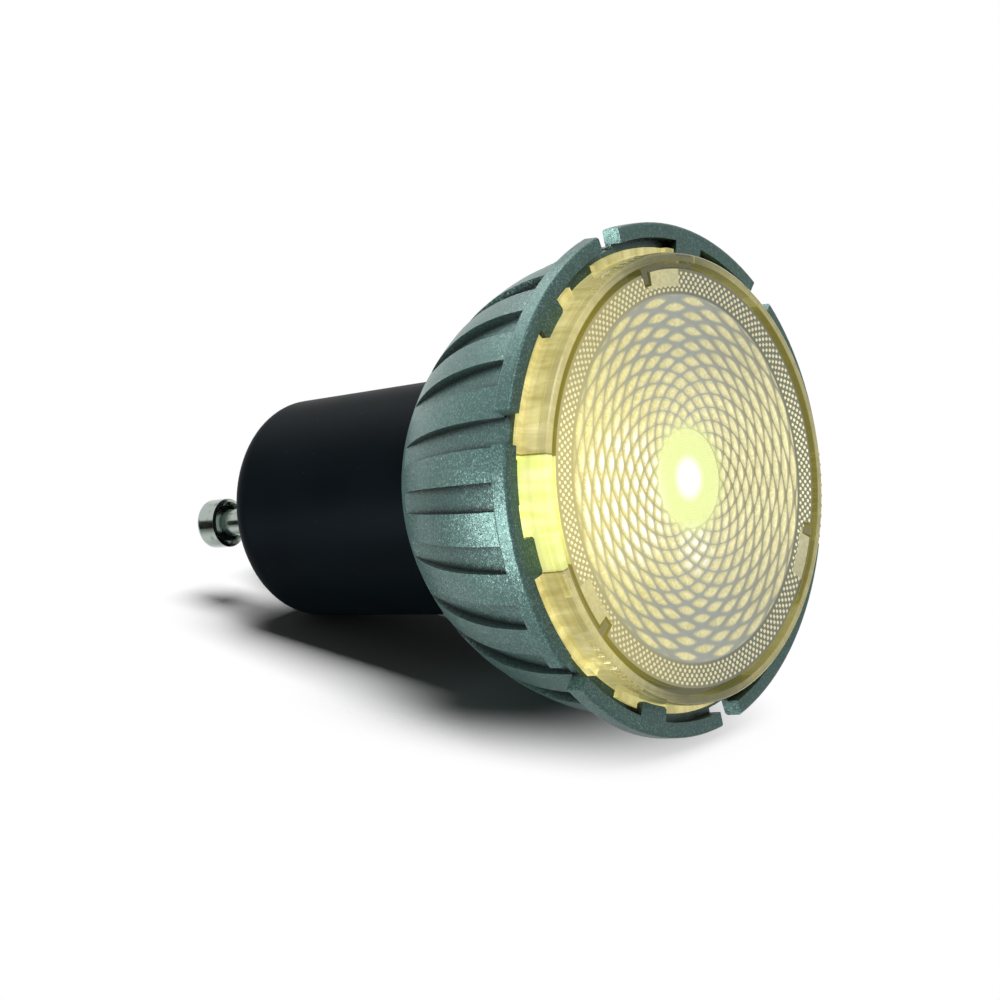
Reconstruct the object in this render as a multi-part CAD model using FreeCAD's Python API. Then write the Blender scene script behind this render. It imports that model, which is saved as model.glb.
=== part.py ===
"""GU10 LED spotlight bulb, standing on its front ring with the contact pins up.

Frame: +Z is the lamp's axis and points to the pins. Z = 0 is the front of the clear ring,
the origin is on the axis, and the two pins stand on the X axis. Millimetres and degrees.
"""
import FreeCAD, Part
import math
import os

from FreeCAD import Vector

# Front ring, optic and rim, along the axis
RIM_FRONT = 2.25           # the rim's front face behind the front of the clear ring
RIM_WIDTH = 2.0            # axial width of the rim flange
BOWL_LENGTH = 21.4         # from the back of the rim flange to the back of the bowl
HOUSING_LENGTH = 25.4      # black barrel that shows behind the bowl
BASE_PAD_HEIGHT = 0.8      # raised pad that carries the pins
NECK_LENGTH = 4.4          # pin neck between the pad and the head
HEAD_LENGTH = 2.6          # pin head

# Heatsink
RIM_RADIUS = 25.0          # nominal 50 mm lamp
RIM_EDGE = 0.35            # rounded edge of the rim flange
RIM_LAND = 1.5             # front face of the rim, from the counterbore to the outside
RIM_STEP = 1.8             # how far the rim stands out of the bowl
BOWL_BACK_RADIUS = 12.8    # bowl at its back end
GROOVES_PER_GAP = 4
GROOVE_ANGLE = 6.9         # width of one groove about the axis
GROOVE_DEPTH = 1.0         # where it is deepest
GROOVE_DEEPEST = 0.4       # share of the groove's length in front of that place
GROOVE_FRONT_DEPTH = 0.4   # at the rim flange
GROOVE_BACK_GAP = 3.6      # plain band that the grooves leave at the back of the bowl
RIM_GAPS = 6
GAP_ANGLE = 7.5            # gap between two rim segments
GAP_SINK = 0.15            # floor of the gaps below the front of the bowl
FIRST_GAP = 23.9           # direction of one gap from the X axis, in which the pins stand
FLOOR_Z = 13.5             # front face of the metal floor that cools the light source
FLOOR_THICKNESS = 2.5
SEAT_WIDTH = 2.6           # floor of the counterbore, under the collar
TAB_LENGTH = 1.45          # how far a tab stands inwards from the counterbore
TAB_ANGLE = 9.6
TAB_THICKNESS = 0.65
TAB_CORNER = 0.25          # chamfer on the tab's corners

# Bayonet between the clear ring and the rim
TWIST_ANGLE = 18.0         # turn from locked to released
STOP_ANGLE = 3.0           # width of the lugs that end the turn
STOP_TABS = (1, 4)         # tabs that have such lugs on both sides
RADIAL_PLAY = 0.15
AXIAL_PLAY = 0.1
ANGULAR_PLAY = 0.7

# Clear ring
COLLAR_WIDTH = 0.7         # how far the collar stands out of the lower wall
LOCK_THICKNESS = 0.45      # collar, which lies behind the tabs
RING_STEP = 0.1            # the ring's upper wall lies this far inside its lower wall
RING_STEP_Z = 1.0
RING_WALL = 0.8            # upper wall
RING_EDGE = 0.15
SHELF_Z = 2.25             # shelf that the optic's edge lies on
SHELF_WIDTH = 1.5
GRIPS = 3
GRIP_CENTRE = 77.0
GRIP_RIBS = 9
GRIP_PITCH = 2.7
RIB_RADIUS = 0.22
RIB_LENGTH = 0.8
WINDOW_ANGLE = 6.3         # shallow flat beside each grip
WINDOW_OFFSET = 28.0
WINDOW_DEPTH = 0.3

# Snap fingers that hold the optic in the ring
FINGERS = 3
FINGER_START = 207.5       # centre of the first notch in the optic's edge
NOTCH_ANGLE = 3.6
NOTCH_DEPTH = 1.3
FINGER_ANGLE = 20.0
FINGER_THICKNESS = 0.3
FINGER_PLAY = 0.2

# Optic
OPTIC_FACE_Z = 0.15        # the face lies just behind the front of the ring
OPTIC_GROOVE = 0.7         # open groove between the optic's face and the ring
OPTIC_EDGE_THICKNESS = 1.1
OPTIC_FIT = 0.15
CONE_MOUTH_INSET = 0.5     # the cone starts this far inside the shelf
CONE_LIP = 0.9             # flat ring round the well at the back of the cone
CONE_BACK_CLEARANCE = 0.3  # above the board
WELL_RADIUS = 3.3          # well over the light source
WELL_DEPTH = 4.4
WELL_DOME = 1.0            # crown of the well's lens surface

# Light source and its board
PAD_THICKNESS = 0.3
PAD_INSET = 0.3            # the pad is this much smaller than the board
BOARD_RADIUS = 13.0
BOARD_THICKNESS = 1.6
PACKAGE_SIDE = 4.4
PACKAGE_THICKNESS = 0.8
PHOSPHOR_RADIUS = 1.9
PHOSPHOR_HEIGHT = 1.3
BOARD_SCREW_INSET = 2.8    # screws' distance from the board's edge
BOARD_SCREW_SHANK = 1.0
BOARD_SCREW_HEAD = 1.9
BOARD_SCREW_HEAD_HEIGHT = 1.2
SCREW_PLAY = 0.05
SCREW_SLOT = 0.4           # depth of the cross recess

# Driver housing
HOUSING_STEP = 0.75        # the barrel lies this far inside the bowl's back edge
HOUSING_DRAFT = 0.95       # the barrel's radius shrinks by this much to its back
HOUSING_EDGE = 2.8         # rounded back edge
HOUSING_WALL = 1.5
HOUSING_END_WALL = 2.2
SPIGOT_STEP = 0.55         # the spigot lies this far inside the barrel
SPIGOT_FIT = 0.12
SPIGOT_WALL = 1.3
SPIGOT_END_GAP = 0.2
BASE_PAD_LENGTH = 17.0
BASE_PAD_WIDTH = 8.5
BASE_PAD_EDGE = 0.4
HOUSING_SCREW_RADIUS = 8.4
HOUSING_SCREW_TURN = 45.0
HOUSING_SCREW_SHANK = 1.1
HOUSING_SCREW_HEAD = 2.1
HOUSING_SCREW_LENGTH = 9.0
HOUSING_BOSS_RADIUS = 2.3
HOUSING_BOSS_LENGTH = 8.5
RAIL_DEPTH = 1.3
RAIL_SHOULDER = 1.1

# Contact pins
PIN_PITCH = 10.0           # standard distance between the pins
PIN_HEAD_RADIUS = 2.5
PIN_NECK_RADIUS = 1.4
PIN_SHANK_RADIUS = 1.15
PIN_COLLAR_RADIUS = 2.0
PIN_COLLAR_HEIGHT = 0.6
PIN_HEAD_EDGE = 0.55
PIN_THROAT = 0.5           # hollow under the head around the neck

# Driver board and what stands on it
CARD_THICKNESS = 1.6
CARD_SIDE_GAP = 0.55       # from the card's edges to the barrel's wall at its back
CARD_FRONT_GAP = 1.4       # from the cooling floor to the card
CARD_BACK_GAP = 1.6        # from the card to the pins' collars
CARD_FIT = 0.05
LEAD_RADIUS = 0.5
LEAD_HOLE_PLAY = 0.3
LED_LEAD_X = 8.0
LED_LEAD_LENGTH = 4.5      # along the card
PIN_LEAD_LENGTH = 4.0      # along the card
SOLDER_RADIUS = 1.0
SOLDER_HEIGHT = 0.6
BULK_CAN_RADIUS = 3.9
BULK_CAN_GAP = 2.0         # from the chip and from the bridge
OUTPUT_CAN_RADIUS = 3.1
OUTPUT_CAN_LENGTH = 8.0
OUTPUT_CAN_PLACE = 2.6     # places are distances from the card's front edge
CAN_GROOVE = 0.35
INDUCTOR_RADIUS = 3.8
INDUCTOR_HEIGHT = 6.2
INDUCTOR_FLANGE = 1.0
INDUCTOR_WAIST = 2.9
FILM_SIZE = (7.2, 5.6, 5.0)
FILM_BACK_PLACE = 11.1     # back places are distances from the card's back edge
BRIDGE_SIZE = (4.8, 2.4, 4.0)
BRIDGE_BACK_PLACE = 9.1
CHIP_SIZE = (5.0, 1.6, 4.0)
CHIP_PLACE = 1.6
RESISTOR_RADIUS = 1.4
RESISTOR_LENGTH = 6.5
RESISTOR_BACK_PLACE = 2.0
PART_PLAY = 0.6            # free space between neighbours on the card
BLOCK_EDGE = 0.3           # chamfer of the moulded blocks

# How far a cutter runs past the faces that it opens
OVERCUT = 1.0

# Places that follow from the sizes above
RIM_BACK = RIM_FRONT + RIM_WIDTH
BOWL_BACK = RIM_BACK + BOWL_LENGTH
HOUSING_BACK = BOWL_BACK + HOUSING_LENGTH
PAD_TOP = HOUSING_BACK + BASE_PAD_HEIGHT
HEAD_FRONT = PAD_TOP + NECK_LENGTH
PIN_END = HEAD_FRONT + HEAD_LENGTH
FLOOR_BACK = FLOOR_Z + FLOOR_THICKNESS
GROOVES = RIM_GAPS * GROOVES_PER_GAP
BOWL_FRONT_RADIUS = RIM_RADIUS - RIM_STEP
COUNTERBORE_RADIUS = RIM_RADIUS - RIM_LAND
CAVITY_MOUTH_RADIUS = COUNTERBORE_RADIUS - SEAT_WIDTH
TAB_INNER_RADIUS = COUNTERBORE_RADIUS - TAB_LENGTH
TAB_BACK = RIM_FRONT + TAB_THICKNESS
LOCK_FRONT = TAB_BACK + AXIAL_PLAY
LOCK_BACK = LOCK_FRONT + LOCK_THICKNESS
COUNTERBORE_BACK = LOCK_BACK + AXIAL_PLAY
STOP_FRONT = RIM_FRONT + AXIAL_PLAY
RING_LOWER = TAB_INNER_RADIUS - RADIAL_PLAY
COLLAR_RADIUS = RING_LOWER + COLLAR_WIDTH
RING_OUTER = RING_LOWER - RING_STEP
RING_INNER = RING_OUTER - RING_WALL
SHELF_INNER = RING_INNER - SHELF_WIDTH
OPTIC_FACE_RADIUS = RING_INNER - OPTIC_GROOVE
CONE_MOUTH_RADIUS = SHELF_INNER - CONE_MOUTH_INSET
CONE_BACK_RADIUS = WELL_RADIUS + CONE_LIP
GAP_RADIUS = BOWL_FRONT_RADIUS - GAP_SINK
TAB_TURN = FIRST_GAP + 180.0 / RIM_GAPS
BOARD_BACK = FLOOR_Z - PAD_THICKNESS
BOARD_FRONT = BOARD_BACK - BOARD_THICKNESS
BOARD_SCREW_RADIUS = BOARD_RADIUS - BOARD_SCREW_INSET
CONE_BACK = BOARD_FRONT - CONE_BACK_CLEARANCE
HOUSING_FRONT_RADIUS = BOWL_BACK_RADIUS - HOUSING_STEP
HOUSING_BACK_RADIUS = HOUSING_FRONT_RADIUS - HOUSING_DRAFT
HOUSING_FLOOR = HOUSING_BACK - HOUSING_END_WALL
SPIGOT_FRONT = FLOOR_BACK + SPIGOT_END_GAP
SPIGOT_RADIUS = HOUSING_FRONT_RADIUS - SPIGOT_STEP
SPIGOT_INNER = SPIGOT_RADIUS - SPIGOT_WALL
COLLAR_END = HOUSING_FLOOR - PIN_COLLAR_HEIGHT
CARD_FACE_Y = -LEAD_RADIUS
CARD_BACK_Y = CARD_FACE_Y - CARD_THICKNESS
CARD_HALF_WIDTH = HOUSING_BACK_RADIUS - HOUSING_WALL - CARD_SIDE_GAP
CARD_FRONT_Z = FLOOR_BACK + CARD_FRONT_GAP
CARD_BACK_Z = COLLAR_END - CARD_BACK_GAP
CHIP_FRONT_Z = CARD_FRONT_Z + CHIP_PLACE
CHIP_BACK_Z = CHIP_FRONT_Z + CHIP_SIZE[2]
FILM_FRONT_Z = CARD_BACK_Z - FILM_BACK_PLACE
BRIDGE_FRONT_Z = CARD_BACK_Z - BRIDGE_BACK_PLACE
AXIS = Vector(0, 0, 1)
ORIGIN = Vector(0, 0, 0)


def revolve(points, turn=360.0, start=0.0):
    """Solid of revolution about Z of a closed outline of (radius, height) points.

    A point may be a triple (radius, height, "arc"): it is then the middle of an arc
    between the points beside it.
    """
    edges = []
    count = len(points)
    corners = [Vector(p[0], 0, p[1]) for p in points]
    index = 0
    while index < count:
        after = (index + 1) % count
        if len(points[after]) == 3:
            far = (index + 2) % count
            edges.append(Part.Arc(corners[index], corners[after], corners[far]).toShape())
            index += 2
        else:
            edges.append(Part.makeLine(corners[index], corners[after]))
            index += 1
    face = Part.Face(Part.Wire(edges))
    face.rotate(ORIGIN, AXIS, start)
    return face.revolve(ORIGIN, AXIS, turn)


def ring_sector(inner, outer, low, high, centre, angle):
    """Block between two radii and two heights, an angle wide, centred on a direction."""
    outline = [(inner, low), (outer, low), (outer, high), (inner, high)]
    return revolve(outline, angle, centre - angle / 2.0)


def rod(radius, low, high, x=0.0, y=0.0):
    """Round rod along Z."""
    return Part.makeCylinder(radius, high - low, Vector(x, y, low))


def block(x0, x1, y0, y1, z0, z1):
    """Block between two corners."""
    return Part.makeBox(x1 - x0, y1 - y0, z1 - z0, Vector(x0, y0, z0))


def turned(shape, angle):
    """Copy of a shape turned about the lamp's axis."""
    copy = shape.copy()
    copy.rotate(ORIGIN, AXIS, angle)
    return copy


def polar(radius, angle):
    """X and Y of a place at a radius and a direction."""
    turn = math.radians(angle)
    return radius * math.cos(turn), radius * math.sin(turn)


def circle_through(front_radius, back_radius, length):
    """Centre radius and radius of the arc that leaves the front parallel to the axis."""
    drop = front_radius - back_radius
    radius = (length ** 2 + drop ** 2) / (2.0 * drop)
    return front_radius - radius, radius


def arc_radius(centre, radius, distance):
    """Profile radius of such an arc at a distance behind its front."""
    return centre + math.sqrt(radius ** 2 - distance ** 2)


def heatsink():
    """Die-cast bowl with a notched rim, grooved outside, a cooling floor and a rear socket."""
    centre, radius = circle_through(BOWL_FRONT_RADIUS, BOWL_BACK_RADIUS, BOWL_LENGTH)
    middle = BOWL_LENGTH * 0.6
    edge = RIM_EDGE
    soft = edge * (1.0 - math.sqrt(0.5))
    body = revolve([
        (0, RIM_FRONT),
        (RIM_RADIUS - edge, RIM_FRONT),
        (RIM_RADIUS - soft, RIM_FRONT + soft, "arc"),
        (RIM_RADIUS, RIM_FRONT + edge),
        (RIM_RADIUS, RIM_BACK - edge),
        (RIM_RADIUS - soft, RIM_BACK - soft, "arc"),
        (RIM_RADIUS - edge, RIM_BACK),
        (BOWL_FRONT_RADIUS, RIM_BACK),
        (arc_radius(centre, radius, middle), RIM_BACK + middle, "arc"),
        (BOWL_BACK_RADIUS, BOWL_BACK),
        (0, BOWL_BACK),
    ])
    cavity_radius = CAVITY_MOUTH_RADIUS - centre
    depth = FLOOR_Z - RIM_BACK
    cavity = revolve([
        (0, RIM_FRONT),
        (COUNTERBORE_RADIUS, RIM_FRONT),
        (COUNTERBORE_RADIUS, COUNTERBORE_BACK),
        (CAVITY_MOUTH_RADIUS, COUNTERBORE_BACK),
        (CAVITY_MOUTH_RADIUS, RIM_BACK),
        (arc_radius(centre, cavity_radius, depth / 2.0), RIM_BACK + depth / 2.0, "arc"),
        (arc_radius(centre, cavity_radius, depth), FLOOR_Z),
        (0, FLOOR_Z),
    ])
    socket = rod(SPIGOT_RADIUS + SPIGOT_FIT, FLOOR_BACK, BOWL_BACK + OVERCUT)
    body = body.cut(cavity).cut(socket)
    body = body.fuse(heatsink_tabs())
    body = body.cut(Part.makeCompound(groove_cutters(centre, radius) + gap_cutters() + floor_holes()))
    return body.removeSplitter()


def heatsink_tabs():
    """Six tabs that stand inwards at the middle of the rim segments."""
    tab = ring_sector(
        TAB_INNER_RADIUS, COUNTERBORE_RADIUS + TAB_CORNER, RIM_FRONT, TAB_BACK, TAB_TURN, TAB_ANGLE)
    corners = [edge for edge in tab.Edges if is_upright(edge, TAB_INNER_RADIUS)]
    tab = tab.makeChamfer(TAB_CORNER, corners)
    return [turned(tab, step * 360.0 / RIM_GAPS) for step in range(RIM_GAPS)]


def is_upright(edge, radius):
    """Whether an edge runs along Z at a distance from the lamp's axis."""
    ends = [vertex.Point for vertex in edge.Vertexes]
    if len(ends) != 2:
        return False
    level = all(abs(math.hypot(end.x, end.y) - radius) < 0.01 for end in ends)
    return level and math.hypot(ends[0].x - ends[1].x, ends[0].y - ends[1].y) < 0.001


def groove_cutters(centre, radius):
    """The 24 shallow grooves: deepest in their front half, fading out before the bowl's back."""
    length = BOWL_LENGTH - GROOVE_BACK_GAP
    deepest = length * GROOVE_DEEPEST
    end_radius = arc_radius(centre, radius, length)
    deepest_radius = arc_radius(centre, radius, deepest) - GROOVE_DEPTH
    outside = BOWL_FRONT_RADIUS + GROOVE_DEPTH
    cutter = revolve([
        (BOWL_FRONT_RADIUS - GROOVE_FRONT_DEPTH, RIM_BACK),
        (deepest_radius, RIM_BACK + deepest, "arc"),
        (end_radius, RIM_BACK + length),
        (outside, RIM_BACK + length),
        (outside, RIM_BACK),
    ], GROOVE_ANGLE, FIRST_GAP - GROOVE_ANGLE / 2.0)
    return [turned(cutter, step * 360.0 / GROOVES) for step in range(GROOVES)]


def gap_cutters():
    """The six gaps through the rim, open to its counterbore, each over a groove."""
    cutter = ring_sector(
        GAP_RADIUS, RIM_RADIUS + OVERCUT, RIM_FRONT - OVERCUT, RIM_BACK, FIRST_GAP, GAP_ANGLE)
    return [turned(cutter, step * 360.0 / RIM_GAPS) for step in range(RIM_GAPS)]


def floor_holes():
    """Holes in the cooling floor: two for the leads, two tapped, two countersunk."""
    holes = []
    low = FLOOR_Z - OVERCUT
    high = FLOOR_BACK + OVERCUT
    for side in (-1, 1):
        holes.append(rod(LEAD_RADIUS + LEAD_HOLE_PLAY, low, high, side * LED_LEAD_X))
        holes.append(rod(BOARD_SCREW_SHANK + SCREW_PLAY, low, high, 0.0, side * BOARD_SCREW_RADIUS))
    for x, y in housing_screw_places():
        holes.append(countersunk(HOUSING_SCREW_HEAD, HOUSING_SCREW_SHANK, SCREW_PLAY,
                                 high - FLOOR_Z, x, y))
    return holes


def housing_screw_places():
    """X and Y of the two screws that hold the driver housing."""
    turns = (HOUSING_SCREW_TURN, HOUSING_SCREW_TURN + 180.0)
    return [polar(HOUSING_SCREW_RADIUS, turn) for turn in turns]


def countersunk(head, shank, play, length, x, y):
    """Countersunk screw form, or its hole with play, whose head is flush with the floor."""
    sink = head - shank
    outline = [
        (0, FLOOR_Z),
        (head + play, FLOOR_Z),
        (shank + play, FLOOR_Z + sink),
        (shank + play, FLOOR_Z + length),
        (0, FLOOR_Z + length),
    ]
    form = revolve(outline)
    form.translate(Vector(x, y, 0))
    return form


def cross_recess(x, y, top, size):
    """Cross cut into a screw head whose face lies at a height and looks towards -Z."""
    arm = size * 0.22
    one = block(x - size, x + size, y - arm, y + arm, top - OVERCUT, top + SCREW_SLOT)
    other = block(x - arm, x + arm, y - size, y + size, top - OVERCUT, top + SCREW_SLOT)
    return one.fuse(other)


def board_screw(side):
    """Pan-head screw through the board into the floor."""
    top = BOARD_FRONT - BOARD_SCREW_HEAD_HEIGHT
    y = side * BOARD_SCREW_RADIUS
    crown = BOARD_SCREW_HEAD * 0.6
    screw = revolve([
        (0, top),
        (crown, top),
        (BOARD_SCREW_HEAD * 0.9, top + BOARD_SCREW_HEAD_HEIGHT * 0.25, "arc"),
        (BOARD_SCREW_HEAD, BOARD_FRONT - BOARD_SCREW_HEAD_HEIGHT * 0.25),
        (BOARD_SCREW_HEAD, BOARD_FRONT),
        (BOARD_SCREW_SHANK, BOARD_FRONT),
        (BOARD_SCREW_SHANK, FLOOR_BACK - SCREW_PLAY),
        (0, FLOOR_BACK - SCREW_PLAY),
    ])
    screw.translate(Vector(0, y, 0))
    return screw.cut(cross_recess(0, y, top, crown))


def housing_screw(x, y):
    """Countersunk screw from the floor into a boss of the housing."""
    screw = countersunk(HOUSING_SCREW_HEAD, HOUSING_SCREW_SHANK, 0.0, HOUSING_SCREW_LENGTH, x, y)
    return screw.cut(cross_recess(x, y, FLOOR_Z, HOUSING_SCREW_HEAD * 0.6))


def thermal_pad():
    """Soft heat-conducting disc between the board and the floor."""
    pad = rod(BOARD_RADIUS - PAD_INSET, BOARD_BACK, FLOOR_Z)
    return pad.cut(Part.makeCompound(board_holes(LEAD_HOLE_PLAY)))


def board_holes(play):
    """Holes in the board or the pad for the two leads and the two screws."""
    holes = []
    low = BOARD_FRONT - OVERCUT
    high = FLOOR_Z + OVERCUT
    for side in (-1, 1):
        holes.append(rod(LEAD_RADIUS + play, low, high, side * LED_LEAD_X))
        holes.append(rod(BOARD_SCREW_SHANK + play, low, high, 0.0, side * BOARD_SCREW_RADIUS))
    return holes


def led_board():
    """Round aluminium-core board under the light source."""
    board = rod(BOARD_RADIUS, BOARD_FRONT, BOARD_BACK)
    return board.cut(Part.makeCompound(board_holes(SCREW_PLAY)))


def led_package():
    """Square ceramic base of the light source."""
    half = PACKAGE_SIDE / 2.0
    return block(-half, half, -half, half, BOARD_FRONT - PACKAGE_THICKNESS, BOARD_FRONT)


def led_phosphor():
    """Domed yellow lens over the chips."""
    base = BOARD_FRONT - PACKAGE_THICKNESS
    radius = (PHOSPHOR_RADIUS ** 2 + PHOSPHOR_HEIGHT ** 2) / (2.0 * PHOSPHOR_HEIGHT)
    centre = base - PHOSPHOR_HEIGHT + radius
    middle = PHOSPHOR_RADIUS * 0.5
    return revolve([
        (0, base - PHOSPHOR_HEIGHT),
        (middle, centre - math.sqrt(radius ** 2 - middle ** 2), "arc"),
        (PHOSPHOR_RADIUS, base),
        (0, base),
    ])


def collimator_lens():
    """Clear optic: flat face, thin edge on the ring's shelf, and a cone with a well at its back."""
    edge_front = SHELF_Z - OPTIC_EDGE_THICKNESS
    middle_z = (SHELF_Z + CONE_BACK) / 2.0
    middle_radius = math.sqrt((CONE_MOUTH_RADIUS ** 2 + CONE_BACK_RADIUS ** 2) / 2.0)
    well_z = CONE_BACK - WELL_DEPTH
    dome = (WELL_RADIUS ** 2 + WELL_DOME ** 2) / (2.0 * WELL_DOME)
    half = WELL_RADIUS / 2.0
    lens = revolve([
        (0, OPTIC_FACE_Z),
        (OPTIC_FACE_RADIUS, OPTIC_FACE_Z),
        (OPTIC_FACE_RADIUS, edge_front),
        (RING_INNER - OPTIC_FIT, edge_front),
        (RING_INNER - OPTIC_FIT, SHELF_Z),
        (CONE_MOUTH_RADIUS, SHELF_Z),
        (middle_radius, middle_z, "arc"),
        (CONE_BACK_RADIUS, CONE_BACK),
        (WELL_RADIUS, CONE_BACK),
        (WELL_RADIUS, well_z),
        (half, well_z + WELL_DOME - dome + math.sqrt(dome ** 2 - half ** 2), "arc"),
        (0, well_z + WELL_DOME),
    ])
    notches = []
    for step in range(FINGERS):
        centre = FINGER_START + step * 360.0 / FINGERS
        notches.append(ring_sector(
            OPTIC_FACE_RADIUS - NOTCH_DEPTH, RING_INNER + OVERCUT, OPTIC_FACE_Z - OVERCUT, edge_front,
            centre, NOTCH_ANGLE))
    return lens.cut(Part.makeCompound(notches))


def lens_cup():
    """Clear ring: stepped wall, notched bayonet collar, stops, shelf, grips and snap fingers."""
    ring = revolve([
        (RING_INNER, 0),
        (RING_OUTER - RING_EDGE, 0),
        (RING_OUTER, RING_EDGE),
        (RING_OUTER, RING_STEP_Z),
        (RING_LOWER, RING_STEP_Z),
        (RING_LOWER, LOCK_FRONT),
        (COLLAR_RADIUS, LOCK_FRONT),
        (COLLAR_RADIUS, LOCK_BACK),
        (SHELF_INNER, LOCK_BACK),
        (SHELF_INNER, SHELF_Z),
        (RING_INNER, SHELF_Z),
    ])
    ring = ring.cut(Part.makeCompound(collar_entries() + window_cutters()))
    return ring.fuse(collar_stops() + grip_ribs() + snap_fingers()).removeSplitter()


def collar_entries():
    """Entries through the collar, which reach the tabs when the ring is turned to release."""
    angle = TAB_ANGLE + 2.0 * ANGULAR_PLAY
    entry = ring_sector(RING_LOWER, COLLAR_RADIUS + OVERCUT, LOCK_FRONT - OVERCUT, LOCK_BACK + OVERCUT,
                        TAB_TURN + TWIST_ANGLE, angle)
    return [turned(entry, step * 360.0 / RIM_GAPS) for step in range(RIM_GAPS)]


def collar_stops():
    """Lugs on the collar that meet a tab's sides when the ring is locked and when it is released."""
    reach = (TAB_ANGLE + STOP_ANGLE) / 2.0 + ANGULAR_PLAY
    stops = []
    for tab in STOP_TABS:
        turn = TAB_TURN + tab * 360.0 / RIM_GAPS
        for place in (turn - reach, turn + TWIST_ANGLE + reach):
            stops.append(ring_sector(RING_OUTER, COLLAR_RADIUS, STOP_FRONT, LOCK_BACK, place, STOP_ANGLE))
    return stops


def window_cutters():
    """Three shallow flats in the upper wall, one beside each grip."""
    cutters = []
    for step in range(GRIPS):
        centre = GRIP_CENTRE + WINDOW_OFFSET + step * 360.0 / GRIPS
        cutters.append(ring_sector(
            RING_OUTER - WINDOW_DEPTH, RING_OUTER + OVERCUT, RING_EDGE * 2.0, RING_STEP_Z,
            centre, WINDOW_ANGLE))
    return cutters


def grip_ribs():
    """Fine upright ribs in three zones of the upper wall."""
    ribs = []
    for grip in range(GRIPS):
        for rib in range(GRIP_RIBS):
            offset = (rib - (GRIP_RIBS - 1) / 2.0) * GRIP_PITCH
            x, y = polar(RING_OUTER, GRIP_CENTRE + grip * 360.0 / GRIPS + offset)
            ribs.append(rod(RIB_RADIUS, RING_STEP_Z - RIB_LENGTH, RING_STEP_Z, x, y))
    return ribs


def snap_fingers():
    """Three springy fingers over the optic's edge, each with a hook in one of its notches."""
    low = OPTIC_FACE_Z + FINGER_PLAY / 2.0
    high = SHELF_Z - OPTIC_EDGE_THICKNESS - FINGER_PLAY / 2.0
    inner = OPTIC_FACE_RADIUS + FINGER_PLAY
    hook_angle = NOTCH_ANGLE - 2.0 * math.degrees(FINGER_PLAY / OPTIC_FACE_RADIUS)
    fingers = []
    for step in range(FINGERS):
        notch = FINGER_START + step * 360.0 / FINGERS
        arm = ring_sector(inner, inner + FINGER_THICKNESS, low, high,
                          notch + FINGER_ANGLE / 2.0, FINGER_ANGLE + hook_angle)
        hook = ring_sector(inner - NOTCH_DEPTH, inner + FINGER_THICKNESS, low, high, notch, hook_angle)
        root = ring_sector(inner, RING_INNER + FINGER_PLAY, low, high,
                           notch + FINGER_ANGLE, hook_angle)
        fingers += [arm, hook, root]
    return fingers


def driver_housing():
    """Black barrel: drafted shell, spigot in the bowl's socket, base pad, rails and bosses."""
    soft = HOUSING_EDGE * (1.0 - math.sqrt(0.5))
    shell = revolve([
        (SPIGOT_INNER, SPIGOT_FRONT),
        (SPIGOT_RADIUS, SPIGOT_FRONT),
        (SPIGOT_RADIUS, BOWL_BACK),
        (HOUSING_FRONT_RADIUS, BOWL_BACK),
        (HOUSING_BACK_RADIUS, HOUSING_BACK - HOUSING_EDGE),
        (HOUSING_BACK_RADIUS - soft, HOUSING_BACK - soft, "arc"),
        (HOUSING_BACK_RADIUS - HOUSING_EDGE, HOUSING_BACK),
        (0, HOUSING_BACK),
        (0, HOUSING_FLOOR),
        (HOUSING_BACK_RADIUS - HOUSING_WALL, HOUSING_FLOOR),
        (SPIGOT_INNER, BOWL_BACK),
    ])
    shell = shell.fuse([base_pad()] + rails() + housing_bosses())
    cutters = []
    for side in (-1, 1):
        cutters.append(rod(PIN_SHANK_RADIUS + SCREW_PLAY, HOUSING_FLOOR - OVERCUT, PAD_TOP + OVERCUT,
                           side * PIN_PITCH / 2.0))
    for x, y in housing_screw_places():
        cutters.append(rod(HOUSING_SCREW_SHANK + SCREW_PLAY, SPIGOT_FRONT - OVERCUT,
                           FLOOR_Z + HOUSING_SCREW_LENGTH + SCREW_PLAY, x, y))
    card_slot = block(-CARD_HALF_WIDTH - CARD_FIT, CARD_HALF_WIDTH + CARD_FIT,
                      CARD_BACK_Y - CARD_FIT, CARD_FACE_Y + CARD_FIT, CARD_FRONT_Z, HOUSING_FLOOR)
    cutters.append(card_slot)
    return shell.cut(Part.makeCompound(cutters)).removeSplitter()


def base_pad():
    """Raised pad with round ends and a soft edge, from which the pins stand."""
    half_width = BASE_PAD_WIDTH / 2.0
    run = BASE_PAD_LENGTH / 2.0 - half_width
    low = HOUSING_FLOOR + HOUSING_END_WALL / 2.0
    pad = block(-run, run, -half_width, half_width, low, PAD_TOP)
    for side in (-1, 1):
        pad = pad.fuse(rod(half_width, low, PAD_TOP, side * run))
    pad = pad.removeSplitter()
    rim = [edge for edge in pad.Edges if all(v.Point.z > PAD_TOP - 0.01 for v in edge.Vertexes)]
    return pad.makeFillet(BASE_PAD_EDGE, rim)


def rails():
    """Two rails inside the barrel whose slots hold the card by its long edges."""
    outer = SPIGOT_INNER
    inner = CARD_HALF_WIDTH - RAIL_DEPTH
    low = CARD_BACK_Y - RAIL_SHOULDER
    high = CARD_FACE_Y + RAIL_SHOULDER
    return [
        block(inner, outer, low, high, BOWL_BACK, HOUSING_FLOOR),
        block(-outer, -inner, low, high, BOWL_BACK, HOUSING_FLOOR),
    ]


def housing_bosses():
    """Screw bosses on the inside of the spigot."""
    back = SPIGOT_FRONT + HOUSING_BOSS_LENGTH
    return [rod(HOUSING_BOSS_RADIUS, SPIGOT_FRONT, back, x, y) for x, y in housing_screw_places()]


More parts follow.
